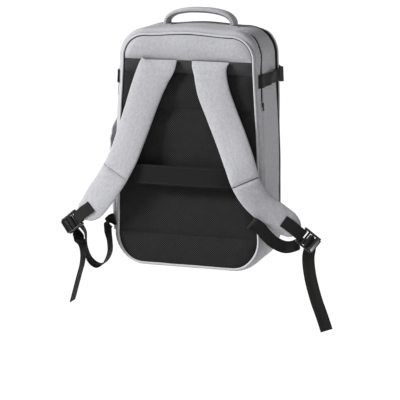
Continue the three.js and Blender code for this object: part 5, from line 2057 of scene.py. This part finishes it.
STRAP_LEFT = (
    (-0.376, 0.047, 0.8732, -1, 0, 0, 1.12, 0.33),
    (-0.376, 0.073, 0.858, -1, 0, 0, 1.1, 0.6),
    (-0.432, 0.09, 0.822, -1, 0, 0, 1.06, 0.9),
    (-0.521, 0.104, 0.753, -1, 0, -0.04, 1, 1),
    (-0.622, 0.114, 0.661, -0.99, 0, -0.12, 0.95, 1),
    (-0.728, 0.14, 0.562, -0.98, 0.02, -0.16, 0.94, 1),
    (-0.817, 0.178, 0.479, -0.98, 0.05, -0.14, 0.93, 1),
    (-0.912, 0.2, 0.415, -0.96, 0.1, 0.1, 0.9, 1),
    (-1.029, 0.194, 0.356, -0.95, 0.15, 0.22, 0.9, 1),
    (-1.16, 0.179, 0.299, -0.93, 0.17, 0.3, 0.9, 0.95),
    (-1.291, 0.154, 0.247, -0.88, 0.18, 0.42, 0.84, 0.85),
    (-1.4, 0.138, 0.222, -0.8, 0.2, 0.56, 0.64, 0.75),
    (-1.445, 0.13, 0.21, -0.78, 0.2, 0.58, 0.42, 0.6),
)
LOOP_RIGHT = (
    (0.99, 0.05, 0.206, 0.2, 0, 0.98),
    (0.94, 0.16, 0.216, 0.4, 0.1, 0.9),
    (0.93, 0.24, 0.23, 0.58, 0.15, 0.8),
    (0.975, 0.285, 0.235, 0.62, 0.15, 0.77),
    (1.045, 0.265, 0.222, 0.62, 0.15, 0.77),
    (1.13, 0.21, 0.184, 0.6, 0.15, 0.78),
    (1.225, 0.14, 0.149, 0.42, 0.2, 0.88),
    (1.34, 0.05, 0.127, 0.2, 0.25, 0.95),
    (1.439, -0.123, 0.125, 0.11, 0.18, 0.98),
    (1.523, -0.181, 0.143, 0.86, -0.12, -0.49),
)
TAIL_RIGHT = (
    (1.645, -0.035, 0.128, 0.75, 0.33, 0.55),
    (1.625, -0.03, 0.085, 0.9, 0.28, 0.3),
    (1.66, 0, 0.01, 0.94, 0.25, 0.25),
    (1.755, 0.025, -0.09, 0.94, 0.22, 0.28),
    (1.83, 0.035, -0.15, 0.94, 0.22, 0.3),
    (1.9, 0.035, -0.213, 0.93, 0.22, 0.32),
)
LOOP_LEFT = (
    (-1.064, 0.02, 0.186, 0.1, 0.2, 0.97),
    (-1.095, 0.055, 0.17, 0.3, 0.65, 0.65),
    (-1.098, 0.075, 0.15, 0.22, 0.95, 0.15),
    (-1.073, 0.075, 0.1, 0.06, 0.98, -0.1),
    (-1.076, 0.07, 0.05, 0.04, 0.98, -0.1),
    (-1.154, 0.056, 0.002, 0.08, 0.97, 0.08),
    (-1.252, 0.033, -0.016, 0.1, 0.97, 0.16),
    (-1.367, -0.003, -0.004, 0, 0.98, 0.12),
    (-1.447, -0.045, 0.026, -0.1, 0.99, 0.05),
    (-1.482, -0.062, 0.064, -0.15, 0.98, 0.1),
    (-1.474, -0.06, 0.107, -0.25, 0.92, 0.25),
    (-1.495, -0.02, 0.14, -0.42, 0.68, 0.55),
)
TAIL_LEFT = (
    (-1.581, 0.009, 0.148, -0.66, 0.47, 0.65),
    (-1.562, 0.006, 0.12, -0.05, 0.66, 0.52),
    (-1.52, 0.065, 0.098, -0.1, 0.9, 0.4),
    (-1.446, 0.135, 0.076, 0.02, 0.96, 0.2),
    (-1.418, 0.167, 0.044, 0.06, 0.98, 0.02),
    (-1.437, 0.155, 0, 0.06, 0.98, 0.02),
    (-1.49, 0.145, -0.055, 0.06, 0.98, 0.02),
    (-1.6, 0.13, -0.172, 0.06, 0.98, 0.04),
)


def main() -> None:
    """Builds the bag and its studio, piece by piece."""
    form = BodyForm()
    Shell(form).build()
    Zips(form).build()
    BackPanel(form).build()
    Harness(form, Side.LEFT, STRAP_LEFT, LOOP_LEFT, TAIL_LEFT, 7.15, seam_line=0.35 * MM).build()
    Harness(form, Side.RIGHT, STRAP_RIGHT, LOOP_RIGHT, TAIL_RIGHT, 7.0).build()
    for side in Side:
        Compression(form, side).build()
    Sliders(form).build()
    TopHandle(form).build()
    SidePocket(form).build()
    Studio().build()
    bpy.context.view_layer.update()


if __name__ == "__main__":
    logging.basicConfig(level=logging.INFO, format="%(message)s")
    main()
